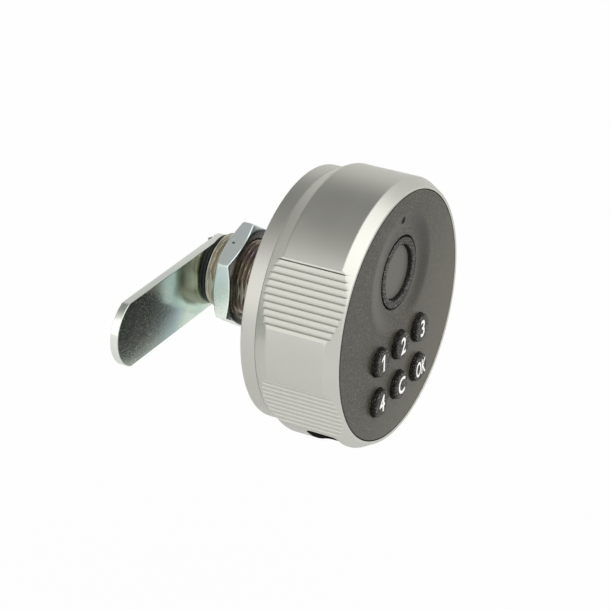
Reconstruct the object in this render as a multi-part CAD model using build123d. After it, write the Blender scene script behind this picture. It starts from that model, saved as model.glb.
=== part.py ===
from build123d import *
from build123d.topology import SkipClean
import math
import os

# Fingerprint cam lock for a cabinet or drawer door, in millimetres
# The knob faces -Y, the barrel and the cam reach to +Y through the door, and +Z is up
# The origin is on the lock's axis, at the flange face that lies on the door

# Threaded barrel, M16 over its crests, with two flats
BARREL_R = 8.0
BARREL_FLAT_DEPTH = 0.55
BARREL_CHAMFER = 0.6
BARREL_END = 19.45
BARREL_HEAD_T = 2.2
BARREL_HEAD_MARGIN = 0.5
BARREL_FIT = 0.05
BARREL_SHOULDER = 0.15

# Mounting nut
NUT_WALL = 2.25
NUT_T = 3.9
NUT_BEHIND_DOOR_FACE = 11.8
NUT_CHAMFER = 0.6
NUT_HOLE_CHAMFER = 0.9
NUT_TURN = 26.0

# Small screws
SMALL_SCREW_R = 0.95
SMALL_SCREW_FIT = 0.05
SMALL_HEAD_R = 1.9
BARREL_SCREW_GAP = 0.7
BARREL_SCREW_LENGTH = 3.7
BARREL_SCREW_ANGLES = (90.0, 210.0, 330.0)
CHASSIS_SCREW_LENGTH = 6.5
BOARD_SCREW_HEAD_T = 1.0
BOARD_SCREW_HEAD_R = 1.6
BOARD_SCREW_LENGTH = 6.0

# Fixed base: flange on the door, boss in the knob's bore and a hub for the chassis
FLANGE_T = 3.2
FLANGE_EDGE = 0.25
PARTING_GAP = 0.15
RUNNING_FIT = 0.08
BOSS_DEPTH = 3.0
HUB_BORE_GAP = 0.2
HUB_WALL = 2.2
HUB_DEPTH = 4.4
WEB_T = 2.4

# Retaining clip
CLIP_T = 1.05
CLIP_GROOVE_DEPTH = 0.7
CLIP_GAP = 0.15
CLIP_BAND = 2.4
CLIP_OPENING = 50.0
CLIP_EAR_R = 1.5
CLIP_EAR_HOLE_R = 0.6
CLIP_ROOM = 3.0

# Chassis
CHASSIS_GAP = 0.3
CHASSIS_FLOOR_T = 2.0
CHASSIS_LIFT = 0.2
CHASSIS_FIT = 0.05
COLLAR_WALL = 1.6
DECK_T = 1.5
DECK_CLEARANCE = 0.4
POST_R = 1.8
POST_GAP = 0.4
POST_ANGLES = (30.0, 150.0, 270.0)

# Knob shell, with a boss for each chassis screw
SHELL_WALL = 3.15
RIM_INSET = 1.4
RIM_LAND = 0.63
FRONT_CHAMFER = 2.5
TAIL_INSET = 1.6
TAIL_LENGTH = 3.1
SHELL_BOSS_R = 2.0
SHELL_BOSS_GAP = 0.6
SHELL_BOSS_WEB = 0.4
SHELL_BOSS_ANGLES = (75.0, 195.0, 315.0)
SHELL_BOSS_FRONT_GAP = 1.2

# Grip facets, two on each side, with grooves along the axis
GRIP_ANGLE = 26.3
GRIP_HALF_WIDTH = 6.95
GRIP_STEP = 0.15
GROOVE_COUNT = 10
GROOVE_PITCH = 1.43
GROOVE_WIDTH = 0.6
GROOVE_DEPTH = 0.35

# Front panel with its finger dish
PANEL_T = 1.6
PANEL_GAP = 0.12
PANEL_EDGE = 0.2
DISH_R = 12.0
DISH_DEPTH = 0.9

# Fingerprint sensor and its bezel
SENSOR_Z = 9.5
SENSOR_R = 5.6
SENSOR_BASE_STEP = 1.2
SENSOR_RECESS = 0.85
SENSOR_GAP = 0.1
BEZEL_TAPER = 0.7
BEZEL_FACE = 1.2
BEZEL_DEPTH = 0.45
BEZEL_EDGE = 0.25
BEZEL_FLANGE = 1.1

# Keys, in two rows of three
KEY_R = 3.1
KEY_TAPER = 0.2
KEY_EDGE = 0.3
KEY_PROUD = 1.2
KEY_GAP = 0.1
KEY_FLANGE = 0.65
KEY_TRAVEL = 0.5
KEY_COLUMN_GAP = 1.35
KEY_ROW_GAP = 1.7
KEY_POST_GAP = 1.15
KEY_NAMES = ("key_1", "key_2", "key_3", "key_4", "key_c", "key_ok")
KEY_COLUMNS = 3

# Parts held behind the panel share one flange thickness and one seating gap
TRIM_T = 0.5
SEAT_GAP = 0.05

# Light pipe and lamp
LIGHT_X = 0.3
LIGHT_FROM_EDGE = 5.0
LIGHT_R = 0.7
LIGHT_GAP = 0.05
LIGHT_SUNK = 0.15
LIGHT_FLANGE = 0.6
LAMP_SIZE = (1.6, 0.8)
LAMP_HEIGHT = 0.5

# Circuit board, key mat and contact domes
BOARD_GAP = 0.8
BOARD_T = 1.0
PANEL_TO_BOARD = 2.0
BOARD_NOTCH_GAP = 0.4
DOME_R = 2.2
DOME_TOP_R = 1.2
DOME_HEIGHT = 0.35
MAT_DOME_GAP = 0.3
MAT_CORNER_R = 4.0
MAT_RIM = 1.0

# Charging recess, its inner pad and the receptacle
PORT_ANGLE = 235.0
PORT_WIDTH = 12.6
PORT_LENGTH = 7.0
PORT_CORNER_R = 1.5
PORT_FROM_RIM = 6.45
PORT_DEPTH = 3.9
PAD_T = 1.5
PAD_MARGIN = 1.3
SOCKET_WIDTH = 8.9
SOCKET_HEIGHT = 3.2
SOCKET_LENGTH = 7.0
SOCKET_CORNER_R = 1.2
SOCKET_WALL = 0.3
SOCKET_TONGUE_T = 0.7
SOCKET_FIT = 0.15

# Battery and its fence on the deck
BATTERY_T = 4.0
BATTERY_LEFT = 7.6
BATTERY_FROM_COLLAR = 6.7
BATTERY_CORNER_GAP = 0.4
BATTERY_COIL_GAP = 3.3
BATTERY_EDGE_R = 1.2
BATTERY_ROOM = 0.63
FENCE_GAP = 0.3
FENCE_T = 0.8
FENCE_HEIGHT = 1.2

# Spindle
BARREL_WALL = 2.95
SHAFT_FIT = 0.05
DRIVE_HEAD_GAP = 0.7
DRIVE_HEAD_T = 3.85
DRIVE_SLOTS = 4
DRIVE_SLOT_DEPTH = 2.2
DRIVE_SLOT_FROM_AXIS = 5.0
THRUST_GAP = 0.15
SQUARE_SHARE = 0.8
SQUARE_SHORT = 0.1
SQUARE_FIT = 0.05

# Clutch
CLUTCH_FROM_EDGE = 4.5
CLUTCH_PIN_R = 1.5
CLUTCH_PIN_FIT = 0.05
CLUTCH_ENGAGED = 1.8
CLUTCH_TRAVEL = 2.2
CLUTCH_SLOT_FIT = 0.15
COIL_R = 4.5
COIL_CHEEK_T = 0.6
COIL_WINDING_INSET = 0.4
COIL_BOARD_GAP = 0.3

# Stop pin and its groove
STOP_PIN_R = 1.24
STOP_PIN_FIT = 0.02
STOP_FROM_COLLAR = 2.0
STOP_ANGLE = 100.0
STOP_DEPTH = 2.4
STOP_PIN_TIP_GAP = 0.4
STOP_GROOVE_FIT = 0.15
KNOB_SWEEP = 90.0

# Cam and what fastens it
SPACER_R = 7.35
SPACER_T = 0.65
CAM_REACH = 39.4
CAM_HALF_WIDTH = 6.95
CAM_HUB_STEP = 0.3
CAM_STRIKE_FROM_HUB = 3.0
CAM_TIP_STEP = 0.55
CAM_T = 1.8
WASHER_R = 6.75
WASHER_ROOT_R = 5.9
WASHER_T = 0.8
WASHER_TEETH = 16
WASHER_TOOTH = 1.5
CAM_SCREW_R = 2.45
CAM_SCREW_HEAD_R = 4.4
CAM_SCREW_HEAD_T = 2.45
CAM_SCREW_RIM = 0.9
CAM_SCREW_LENGTH = 12.0
CAM_SCREW_FIT = 0.05
CROSS_SPAN = 4.4
CROSS_WIDTH = 0.8
CROSS_DEPTH = 1.2

# Cutting tools run this far past what they cut
CUT_MARGIN = 1.0

# Radii, worked out from the barrel inwards, then outwards
BARREL_SHOULDER_R = BARREL_R + BARREL_SHOULDER
BARREL_BORE_R = BARREL_R - BARREL_WALL
SHAFT_R = BARREL_BORE_R - SHAFT_FIT
BARREL_SCREW_CIRCLE_R = BARREL_R + BARREL_SCREW_GAP + SMALL_HEAD_R
BARREL_HEAD_R = BARREL_SCREW_CIRCLE_R + SMALL_HEAD_R + BARREL_HEAD_MARGIN
HUB_BORE_R = BARREL_HEAD_R + HUB_BORE_GAP
HUB_R = HUB_BORE_R + HUB_WALL
COLLAR_BORE_R = HUB_R + CLIP_ROOM
COLLAR_R = COLLAR_BORE_R + COLLAR_WALL
POST_CIRCLE_R = COLLAR_R + POST_GAP + POST_R
STOP_CIRCLE_R = COLLAR_R + STOP_FROM_COLLAR
SHELL_BOSS_CIRCLE_R = COLLAR_R + SHELL_BOSS_GAP + SHELL_BOSS_R
BODY_BORE_R = SHELL_BOSS_CIRCLE_R + SHELL_BOSS_R + SHELL_BOSS_WEB
CHASSIS_R = BODY_BORE_R - CHASSIS_GAP
BOARD_R = BODY_BORE_R - BOARD_GAP
BODY_R = BODY_BORE_R + SHELL_WALL
RIM_R = BODY_R - RIM_INSET
SEAT_R = RIM_R - RIM_LAND
PANEL_R = SEAT_R - PANEL_GAP
TAIL_R = BODY_R - TAIL_INSET
PORT_FLOOR_R = BODY_R - PORT_DEPTH
DRIVE_HEAD_R = HUB_BORE_R - DRIVE_HEAD_GAP
NUT_ACROSS_FLATS = 2 * (BARREL_R + NUT_WALL)
BEZEL_MOUTH_R = SENSOR_R + BEZEL_TAPER
BEZEL_R = BEZEL_MOUTH_R + BEZEL_FACE
KEY_FLANGE_R = KEY_R + KEY_FLANGE

# Stations along Y, worked out from the door's face towards the front, then towards the cam
FLANGE_FRONT_Y = -FLANGE_T
TAIL_Y = FLANGE_FRONT_Y - PARTING_GAP
BOSS_FRONT_Y = FLANGE_FRONT_Y - BOSS_DEPTH
HUB_FRONT_Y = BOSS_FRONT_Y - HUB_DEPTH
FLOOR_REAR_Y = BOSS_FRONT_Y - CHASSIS_LIFT
FLOOR_FRONT_Y = FLOOR_REAR_Y - CHASSIS_FLOOR_T
CLIP_REAR_Y = FLOOR_FRONT_Y - CLIP_GAP
DECK_REAR_Y = HUB_FRONT_Y - DECK_CLEARANCE
DECK_FRONT_Y = DECK_REAR_Y - DECK_T
BATTERY_REAR_Y = DECK_FRONT_Y - SEAT_GAP
BOARD_REAR_Y = BATTERY_REAR_Y - BATTERY_T - BATTERY_ROOM
BOARD_FRONT_Y = BOARD_REAR_Y - BOARD_T
LEDGE_Y = BOARD_FRONT_Y - PANEL_TO_BOARD
TRIM_REAR_Y = LEDGE_Y + TRIM_T
RIM_Y = LEDGE_Y - PANEL_T
BEZEL_TOP_Y = RIM_Y + BEZEL_DEPTH
SENSOR_FACE_Y = BEZEL_TOP_Y + SENSOR_RECESS
PORT_Y = RIM_Y + PORT_FROM_RIM
SOCKET_Y = BOARD_REAR_Y + SOCKET_HEIGHT / 2
BARREL_HEAD_Y = -WEB_T - BARREL_HEAD_T
DRIVE_REAR_Y = BARREL_HEAD_Y - THRUST_GAP
DRIVE_FRONT_Y = DRIVE_REAR_Y - DRIVE_HEAD_T
CLUTCH_TIP_Y = DRIVE_FRONT_Y + CLUTCH_ENGAGED
COIL_FRONT_Y = BOARD_REAR_Y + COIL_BOARD_GAP
SPACER_Y = BARREL_END + SEAT_GAP
CAM_Y = SPACER_Y + SPACER_T
WASHER_Y = CAM_Y + CAM_T
SCREW_HEAD_Y = WASHER_Y + WASHER_T

# Places on the front and on the deck
KEY_PITCH_X = 2 * KEY_FLANGE_R + KEY_COLUMN_GAP
KEY_PITCH_Z = 2 * KEY_FLANGE_R + KEY_ROW_GAP
KEY_BOTTOM_ROW_Z = KEY_FLANGE_R + KEY_POST_GAP + BOARD_SCREW_HEAD_R - POST_CIRCLE_R
LIGHT_Z = PANEL_R - LIGHT_FROM_EDGE
CLUTCH_Z = DRIVE_HEAD_R - CLUTCH_FROM_EDGE
CAM_STRIKE_X = -CAM_HALF_WIDTH - CAM_HUB_STEP - CAM_STRIKE_FROM_HUB
BATTERY_BOTTOM_Z = BATTERY_FROM_COLLAR - COLLAR_R
BATTERY_TOP_Z = CLUTCH_Z - COIL_R - BATTERY_COIL_GAP
BATTERY_RIGHT = math.sqrt((COLLAR_R - BATTERY_CORNER_GAP) ** 2 - BATTERY_BOTTOM_Z**2)
BATTERY_SIZE = (BATTERY_RIGHT + BATTERY_LEFT, BATTERY_TOP_Z - BATTERY_BOTTOM_Z)
BATTERY_CENTRE = ((BATTERY_RIGHT - BATTERY_LEFT) / 2, (BATTERY_TOP_Z + BATTERY_BOTTOM_Z) / 2)


def polar(radius, angle):
    """Point in the door's plane, with the angle from +X towards +Z."""
    return radius * math.cos(math.radians(angle)), radius * math.sin(math.radians(angle))


def ball_radius(half_width, height):
    """Radius of the ball whose cap has this half width and height."""
    return (half_width**2 + height**2) / (2 * height)


def turned(points, x=0.0, z=0.0):
    """Solid of revolution about a line along Y, from (radius, y) points."""
    outline = Polyline(*points, close=True)
    return Pos(x, 0, z) * revolve(make_face(outline), axis=Axis.Y)


def rod(radius, y_front, y_rear, x=0.0, z=0.0):
    """Round bar along Y between two stations."""
    return plate(Pos(x, z) * Circle(radius), y_front, y_rear)


def plate(sketch, y_front, y_rear):
    """Sketch drawn in X and Z, made solid between two stations along Y."""
    return extrude(Plane.XZ.offset(-y_rear) * sketch, y_rear - y_front)


def radial_plane(angle, y, radius):
    """Plane that faces away from the axis, with its X direction round the body."""
    x, z = polar(radius, angle)
    out = polar(1.0, angle)
    return Plane(origin=(x, y, z), x_dir=(-out[1], 0, out[0]), z_dir=(out[0], 0, out[1]))


def ring_sketch(outer, inner):
    """Flat ring."""
    return Circle(outer) - Circle(inner)


def key_places():
    """Centres of the keys, left to right and top to bottom."""
    places = []
    for index in range(len(KEY_NAMES)):
        row, column = divmod(index, KEY_COLUMNS)
        x = (column - (KEY_COLUMNS - 1) / 2) * KEY_PITCH_X
        places.append((x, KEY_BOTTOM_ROW_Z + (1 - row) * KEY_PITCH_Z))
    return places


def countersunk_screw(radius, head_radius, length, y_head, toward):
    """Screw with its flat head at one station and its shank going toward -1 or +1 along Y."""
    neck = y_head + toward * (head_radius - radius)
    tip = y_head + toward * length
    return [(0, y_head), (head_radius, y_head), (radius, neck), (radius, tip), (0, tip)]


def grip_cutter(angle):
    """Everything outside one grip facet, with a V groove tool for each groove."""
    face = math.sqrt(BODY_R**2 - GRIP_HALF_WIDTH**2) - GRIP_STEP
    points = [(face, -GRIP_HALF_WIDTH)]
    for index in range(GROOVE_COUNT):
        middle = (index - (GROOVE_COUNT - 1) / 2) * GROOVE_PITCH
        points.append((face, middle - GROOVE_WIDTH / 2))
        points.append((face - GROOVE_DEPTH, middle))
        points.append((face, middle + GROOVE_WIDTH / 2))
    points.append((face, GRIP_HALF_WIDTH))
    points.append((BODY_R + CUT_MARGIN, GRIP_HALF_WIDTH))
    points.append((BODY_R + CUT_MARGIN, -GRIP_HALF_WIDTH))
    outline = make_face(Polyline(*points, close=True))
    return plate(Rot(0, 0, angle) * outline, RIM_Y - CUT_MARGIN, TAIL_Y + CUT_MARGIN)


def shell_boss_sketch(margin=0.0):
    """The three screw bosses of the shell, each joined to its wall."""
    sketch = Sketch()
    reach = TAIL_R - SHELL_BOSS_CIRCLE_R
    width = 2 * (SHELL_BOSS_R + margin)
    for angle in SHELL_BOSS_ANGLES:
        web = Pos(SHELL_BOSS_CIRCLE_R + reach / 2, 0) * Rectangle(reach, width)
        round_end = Pos(SHELL_BOSS_CIRCLE_R, 0) * Circle(SHELL_BOSS_R + margin)
        sketch += Rot(0, 0, angle) * (web + round_end)
    return sketch


def knob_shell():
    """Die-cast shell: turned form, grip facets, screw bosses and charging recess."""
    shell = turned([
        (SEAT_R, RIM_Y),
        (RIM_R, RIM_Y),
        (BODY_R, RIM_Y + FRONT_CHAMFER),
        (BODY_R, TAIL_Y - TAIL_LENGTH),
        (TAIL_R, TAIL_Y),
        (BODY_BORE_R, TAIL_Y),
        (BODY_BORE_R, LEDGE_Y),
        (SEAT_R, LEDGE_Y),
    ])
    for middle in (0.0, 180.0):
        for side in (-1, 1):
            shell -= grip_cutter(middle + side * GRIP_ANGLE)
    inside = Circle((BODY_BORE_R + TAIL_R) / 2)
    boss_front = LEDGE_Y + SHELL_BOSS_FRONT_GAP
    shell += plate(shell_boss_sketch() & inside, boss_front, FLOOR_FRONT_Y - SEAT_GAP)
    pad_r = PORT_FLOOR_R - PAD_T
    pad = Rectangle(PORT_WIDTH + 2 * PAD_MARGIN, PORT_LENGTH + 2 * PAD_MARGIN)
    pad = extrude(radial_plane(PORT_ANGLE, PORT_Y, pad_r) * pad, PORT_DEPTH)
    shell += pad & plate(inside, LEDGE_Y, TAIL_Y)
    recess = RectangleRounded(PORT_WIDTH, PORT_LENGTH, PORT_CORNER_R)
    shell -= extrude(radial_plane(PORT_ANGLE, PORT_Y, PORT_FLOOR_R) * recess, BODY_R)
    mouth = RectangleRounded(
        SOCKET_WIDTH + 2 * SOCKET_FIT, SOCKET_HEIGHT + 2 * SOCKET_FIT, SOCKET_CORNER_R + SOCKET_FIT
    )
    shell -= extrude(radial_plane(PORT_ANGLE, SOCKET_Y, pad_r) * mouth, PORT_DEPTH)
    for angle in SHELL_BOSS_ANGLES:
        x, z = polar(SHELL_BOSS_CIRCLE_R, angle)
        hole_end = FLOOR_REAR_Y - CHASSIS_SCREW_LENGTH - SEAT_GAP
        shell -= rod(SMALL_SCREW_R + SMALL_SCREW_FIT, hole_end, TAIL_Y, x, z)
    return shell


def front_panel():
    """Round panel with the finger dish and its holes."""
    panel = turned([
        (0, RIM_Y),
        (PANEL_R - PANEL_EDGE, RIM_Y),
        (PANEL_R, RIM_Y + PANEL_EDGE),
        (PANEL_R, LEDGE_Y),
        (0, LEDGE_Y),
    ])
    dish_r = ball_radius(DISH_R, DISH_DEPTH)
    panel -= Pos(0, RIM_Y + DISH_DEPTH - dish_r, SENSOR_Z) * Sphere(dish_r)
    panel -= rod(BEZEL_R + SENSOR_GAP, RIM_Y, LEDGE_Y, 0, SENSOR_Z)
    panel -= rod(LIGHT_R + LIGHT_GAP, RIM_Y, LEDGE_Y, LIGHT_X, LIGHT_Z)
    for x, z in key_places():
        panel -= rod(KEY_R + KEY_GAP, RIM_Y, LEDGE_Y, x, z)
    return panel


def sensor_bezel():
    """Ring with a tapered mouth, held by its flange behind the panel."""
    bore = SENSOR_R + SENSOR_GAP
    return turned([
        (BEZEL_MOUTH_R, BEZEL_TOP_Y),
        (BEZEL_R - BEZEL_EDGE, BEZEL_TOP_Y),
        (BEZEL_R, BEZEL_TOP_Y + BEZEL_EDGE),
        (BEZEL_R, LEDGE_Y),
        (BEZEL_R + BEZEL_FLANGE, LEDGE_Y),
        (BEZEL_R + BEZEL_FLANGE, TRIM_REAR_Y),
        (bore, TRIM_REAR_Y),
        (bore, SENSOR_FACE_Y),
    ], 0, SENSOR_Z)


def fingerprint_sensor():
    """Sensing disc on its wider base, seated on the circuit board."""
    shoulder = TRIM_REAR_Y + SEAT_GAP
    base_r = SENSOR_R + SENSOR_BASE_STEP
    return turned([
        (0, SENSOR_FACE_Y),
        (SENSOR_R, SENSOR_FACE_Y),
        (SENSOR_R, shoulder),
        (base_r, shoulder),
        (base_r, BOARD_FRONT_Y),
        (0, BOARD_FRONT_Y),
    ], 0, SENSOR_Z)


def key_cap(x, z):
    """Key cap with a broken top edge and a flange that stops it behind the panel."""
    top = RIM_Y - KEY_PROUD
    top_r = KEY_R - KEY_TAPER
    return turned([
        (0, top),
        (top_r - KEY_EDGE, top),
        (top_r, top + KEY_EDGE),
        (KEY_R, RIM_Y),
        (KEY_R, LEDGE_Y),
        (KEY_FLANGE_R, LEDGE_Y),
        (KEY_FLANGE_R, TRIM_REAR_Y),
        (0, TRIM_REAR_Y),
    ], x, z)


def key_mat():
    """Soft mat over the domes, with a rim down to the board."""
    row_middle = KEY_BOTTOM_ROW_Z + KEY_PITCH_Z / 2
    inside = 2 * (DOME_R + MAT_DOME_GAP)
    outside = inside + 2 * MAT_RIM
    across = (KEY_COLUMNS - 1) * KEY_PITCH_X
    outline = Pos(0, row_middle) * RectangleRounded(across + outside, KEY_PITCH_Z + outside, MAT_CORNER_R)
    opening = Pos(0, row_middle) * RectangleRounded(
        across + inside, KEY_PITCH_Z + inside, MAT_CORNER_R - MAT_RIM
    )
    front = TRIM_REAR_Y + KEY_TRAVEL + KEY_GAP
    rear = BOARD_FRONT_Y - DOME_HEIGHT - SEAT_GAP
    sheet = plate(outline, front, rear)
    return sheet + plate(outline - opening, rear, BOARD_FRONT_Y)


def contact_domes():
    """One snap dome under each key."""
    top = BOARD_FRONT_Y - DOME_HEIGHT
    outline = [(0, top), (DOME_TOP_R, top), (DOME_R, BOARD_FRONT_Y), (0, BOARD_FRONT_Y)]
    return Compound(children=[turned(outline, x, z) for x, z in key_places()])


def light_pipe():
    """Clear pipe in the panel's pinhole."""
    lamp_front = BOARD_FRONT_Y - LAMP_HEIGHT
    return turned([
        (0, RIM_Y + LIGHT_SUNK),
        (LIGHT_R, RIM_Y + LIGHT_SUNK),
        (LIGHT_R, LEDGE_Y),
        (LIGHT_R + LIGHT_FLANGE, LEDGE_Y),
        (LIGHT_R + LIGHT_FLANGE, TRIM_REAR_Y),
        (LIGHT_R, TRIM_REAR_Y),
        (LIGHT_R, lamp_front - SEAT_GAP),
        (0, lamp_front - SEAT_GAP),
    ], LIGHT_X, LIGHT_Z)


def status_light():
    """Small lamp on the board, behind the light pipe."""
    outline = Pos(LIGHT_X, LIGHT_Z) * Rectangle(*LAMP_SIZE)
    return plate(outline, BOARD_FRONT_Y - LAMP_HEIGHT, BOARD_FRONT_Y)


def circuit_board():
    """Round board, notched for the shell's bosses and its recess pad."""
    outline = Circle(BOARD_R) - shell_boss_sketch(BOARD_NOTCH_GAP)
    for angle in POST_ANGLES:
        outline -= Pos(*polar(POST_CIRCLE_R, angle)) * Circle(SMALL_SCREW_R)
    board = plate(outline, BOARD_FRONT_Y, BOARD_REAR_Y)
    pad_r = PORT_FLOOR_R - PAD_T - BOARD_NOTCH_GAP
    side = 2 * BOARD_R
    return board - extrude(radial_plane(PORT_ANGLE, BOARD_FRONT_Y, pad_r) * Rectangle(side, side), side)


def charge_socket():
    """Receptacle shell with its tongue, on the rear of the board, open outwards."""
    plane = radial_plane(PORT_ANGLE, SOCKET_Y, PORT_FLOOR_R - SOCKET_LENGTH)
    outside = RectangleRounded(SOCKET_WIDTH, SOCKET_HEIGHT, SOCKET_CORNER_R)
    inside = RectangleRounded(
        SOCKET_WIDTH - 2 * SOCKET_WALL, SOCKET_HEIGHT - 2 * SOCKET_WALL, SOCKET_CORNER_R - SOCKET_WALL
    )
    tongue = Rectangle(SOCKET_WIDTH - 2 * SOCKET_CORNER_R, SOCKET_TONGUE_T)
    can = extrude(plane * outside, SOCKET_LENGTH - SOCKET_FIT)
    can -= extrude(plane.offset(SOCKET_CORNER_R) * inside, SOCKET_LENGTH)
    return can + extrude(plane * tongue, SOCKET_LENGTH - SOCKET_CORNER_R)


def base_flange():
    """Cast base: door flange, boss in the knob's bore, hub and stop groove."""
    boss_r = BODY_BORE_R - RUNNING_FIT
    clip_front = CLIP_REAR_Y - CLIP_T - SEAT_GAP
    clip_rear = CLIP_REAR_Y + SEAT_GAP
    groove_r = HUB_R - CLIP_GROOVE_DEPTH
    base = turned([
        (BARREL_SHOULDER_R + BARREL_FIT, 0),
        (TAIL_R - FLANGE_EDGE, 0),
        (TAIL_R, -FLANGE_EDGE),
        (TAIL_R, FLANGE_FRONT_Y + FLANGE_EDGE),
        (TAIL_R - FLANGE_EDGE, FLANGE_FRONT_Y),
        (boss_r, FLANGE_FRONT_Y),
        (boss_r, BOSS_FRONT_Y),
        (HUB_R, BOSS_FRONT_Y),
        (HUB_R, clip_rear),
        (groove_r, clip_rear),
        (groove_r, clip_front),
        (HUB_R, clip_front),
        (HUB_R, HUB_FRONT_Y),
        (HUB_BORE_R, HUB_FRONT_Y),
        (HUB_BORE_R, -WEB_T),
        (BARREL_SHOULDER_R + BARREL_FIT, -WEB_T),
    ])
    width = 2 * (STOP_PIN_R + STOP_GROOVE_FIT)
    path = CenterArc((0, 0), STOP_CIRCLE_R, STOP_ANGLE - KNOB_SWEEP, KNOB_SWEEP)
    groove = SlotArc(path, width)
    base -= plate(groove, BOSS_FRONT_Y, BOSS_FRONT_Y + STOP_DEPTH)
    for angle in BARREL_SCREW_ANGLES:
        x, z = polar(BARREL_SCREW_CIRCLE_R, angle)
        end = BARREL_HEAD_Y + BARREL_SCREW_LENGTH + SEAT_GAP
        base -= rod(SMALL_SCREW_R + SMALL_SCREW_FIT, BARREL_HEAD_Y, end, x, z)
    return base


def threaded_barrel():
    """Barrel: head and shoulder in the base, a flat on each side of the thread, and a bore."""
    barrel = rod(BARREL_HEAD_R, BARREL_HEAD_Y, -WEB_T) + rod(BARREL_SHOULDER_R, -WEB_T, 0)
    thread = turned([
        (0, 0),
        (BARREL_R, 0),
        (BARREL_R, BARREL_END - BARREL_CHAMFER),
        (BARREL_R - BARREL_CHAMFER, BARREL_END),
        (0, BARREL_END),
    ])
    across_flats = 2 * (BARREL_R - BARREL_FLAT_DEPTH)
    barrel += thread & plate(Rectangle(across_flats, 2 * BARREL_R), 0, BARREL_END)
    barrel -= rod(BARREL_BORE_R, BARREL_HEAD_Y, BARREL_END)
    for angle in BARREL_SCREW_ANGLES:
        x, z = polar(BARREL_SCREW_CIRCLE_R, angle)
        outline = countersunk_screw(
            SMALL_SCREW_R + SMALL_SCREW_FIT, SMALL_HEAD_R + SMALL_SCREW_FIT, BARREL_HEAD_T, BARREL_HEAD_Y, 1
        )
        barrel -= turned(outline, x, z)
    return barrel


def barrel_screws():
    """Three countersunk screws through the barrel's head into the base."""
    outline = countersunk_screw(SMALL_SCREW_R, SMALL_HEAD_R, BARREL_SCREW_LENGTH, BARREL_HEAD_Y, 1)
    places = [polar(BARREL_SCREW_CIRCLE_R, angle) for angle in BARREL_SCREW_ANGLES]
    return Compound(children=[turned(outline, x, z) for x, z in places])


def mounting_nut():
    """Hexagon nut, chamfered on both faces."""
    front = NUT_BEHIND_DOOR_FACE
    rear = front + NUT_T
    corner_r = NUT_ACROSS_FLATS / math.sqrt(3)
    face_r = NUT_ACROSS_FLATS / 2
    hole_r = BARREL_R + BARREL_FIT
    hexagon = Rot(0, 0, NUT_TURN) * RegularPolygon(corner_r, 6)
    form = turned([
        (hole_r + NUT_HOLE_CHAMFER, front),
        (face_r, front),
        (corner_r, front + NUT_CHAMFER),
        (corner_r, rear - NUT_CHAMFER),
        (face_r, rear),
        (hole_r + NUT_HOLE_CHAMFER, rear),
        (hole_r, rear - NUT_HOLE_CHAMFER),
        (hole_r, front + NUT_HOLE_CHAMFER),
    ])
    return form & plate(hexagon, front, rear)


def square_sketch(margin):
    """Square of the spindle, its corners turned down to the shaft."""
    side = 2 * (SQUARE_SHARE * SHAFT_R + margin)
    return Rectangle(side, side) & Circle(SHAFT_R + margin)


def spindle():
    """Drive head with slots for the clutch pin, shaft, and square end for the cam."""
    square_end = WASHER_Y - SQUARE_SHORT
    part = rod(DRIVE_HEAD_R, DRIVE_FRONT_Y, DRIVE_REAR_Y)
    part += rod(SHAFT_R, DRIVE_REAR_Y, SPACER_Y)
    part += plate(square_sketch(0), SPACER_Y, square_end)
    width = 2 * (CLUTCH_PIN_R + CLUTCH_SLOT_FIT)
    length = DRIVE_HEAD_R - DRIVE_SLOT_FROM_AXIS
    for index in range(DRIVE_SLOTS):
        slot = Pos(DRIVE_SLOT_FROM_AXIS + length / 2 + width / 2, 0) * Rectangle(length, width)
        slot += Pos(DRIVE_SLOT_FROM_AXIS + width / 2, 0) * Circle(width / 2)
        turned_slot = Rot(0, 0, 90 + index * 360 / DRIVE_SLOTS) * slot
        part -= plate(turned_slot, DRIVE_FRONT_Y, DRIVE_FRONT_Y + DRIVE_SLOT_DEPTH)
    hole_front = SCREW_HEAD_Y - CAM_SCREW_LENGTH - SEAT_GAP
    return part - rod(CAM_SCREW_R + CAM_SCREW_FIT, hole_front, square_end)


def cam_spacer():
    """Thin washer with a square hole, between the barrel and the cam."""
    return plate(Circle(SPACER_R) - square_sketch(SQUARE_FIT), SPACER_Y, CAM_Y)


def cam():
    """Flat cam: round hub, straight arm towards -X and a rounded tip.

    The two are joined with their seam kept, so that the arm's face, which meets the strike,
    is a face of its own.
    """
    tip_r = CAM_HALF_WIDTH + CAM_TIP_STEP
    tip_x = tip_r - CAM_REACH
    whole = Pos(-CAM_REACH / 2, 0) * Rectangle(CAM_REACH, 2 * CAM_HALF_WIDTH)
    straight = Pos(tip_x / 2, 0) * Rectangle(-tip_x, 2 * CAM_HALF_WIDTH)
    tip = whole & (Pos(tip_x, 0) * Circle(tip_r))
    beyond_hub = Pos(CAM_STRIKE_X - CAM_REACH, 0) * Rectangle(2 * CAM_REACH, 4 * CAM_HALF_WIDTH)
    hub = Circle(CAM_HALF_WIDTH + CAM_HUB_STEP) + straight - beyond_hub - square_sketch(SQUARE_FIT)
    arm = (straight + tip) & beyond_hub
    with SkipClean():
        return plate(hub, CAM_Y, CAM_Y + CAM_T) + plate(arm, CAM_Y, CAM_Y + CAM_T)


def lock_washer():
    """Washer with teeth round its edge."""
    outline = Circle(WASHER_ROOT_R)
    for index in range(WASHER_TEETH):
        tooth = Pos(WASHER_R / 2, 0) * Rectangle(WASHER_R, WASHER_TOOTH)
        outline += Rot(0, 0, index * 360 / WASHER_TEETH) * tooth
    outline = (outline & Circle(WASHER_R)) - Circle(CAM_SCREW_R + SOCKET_FIT)
    return plate(outline, WASHER_Y, SCREW_HEAD_Y)


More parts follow.
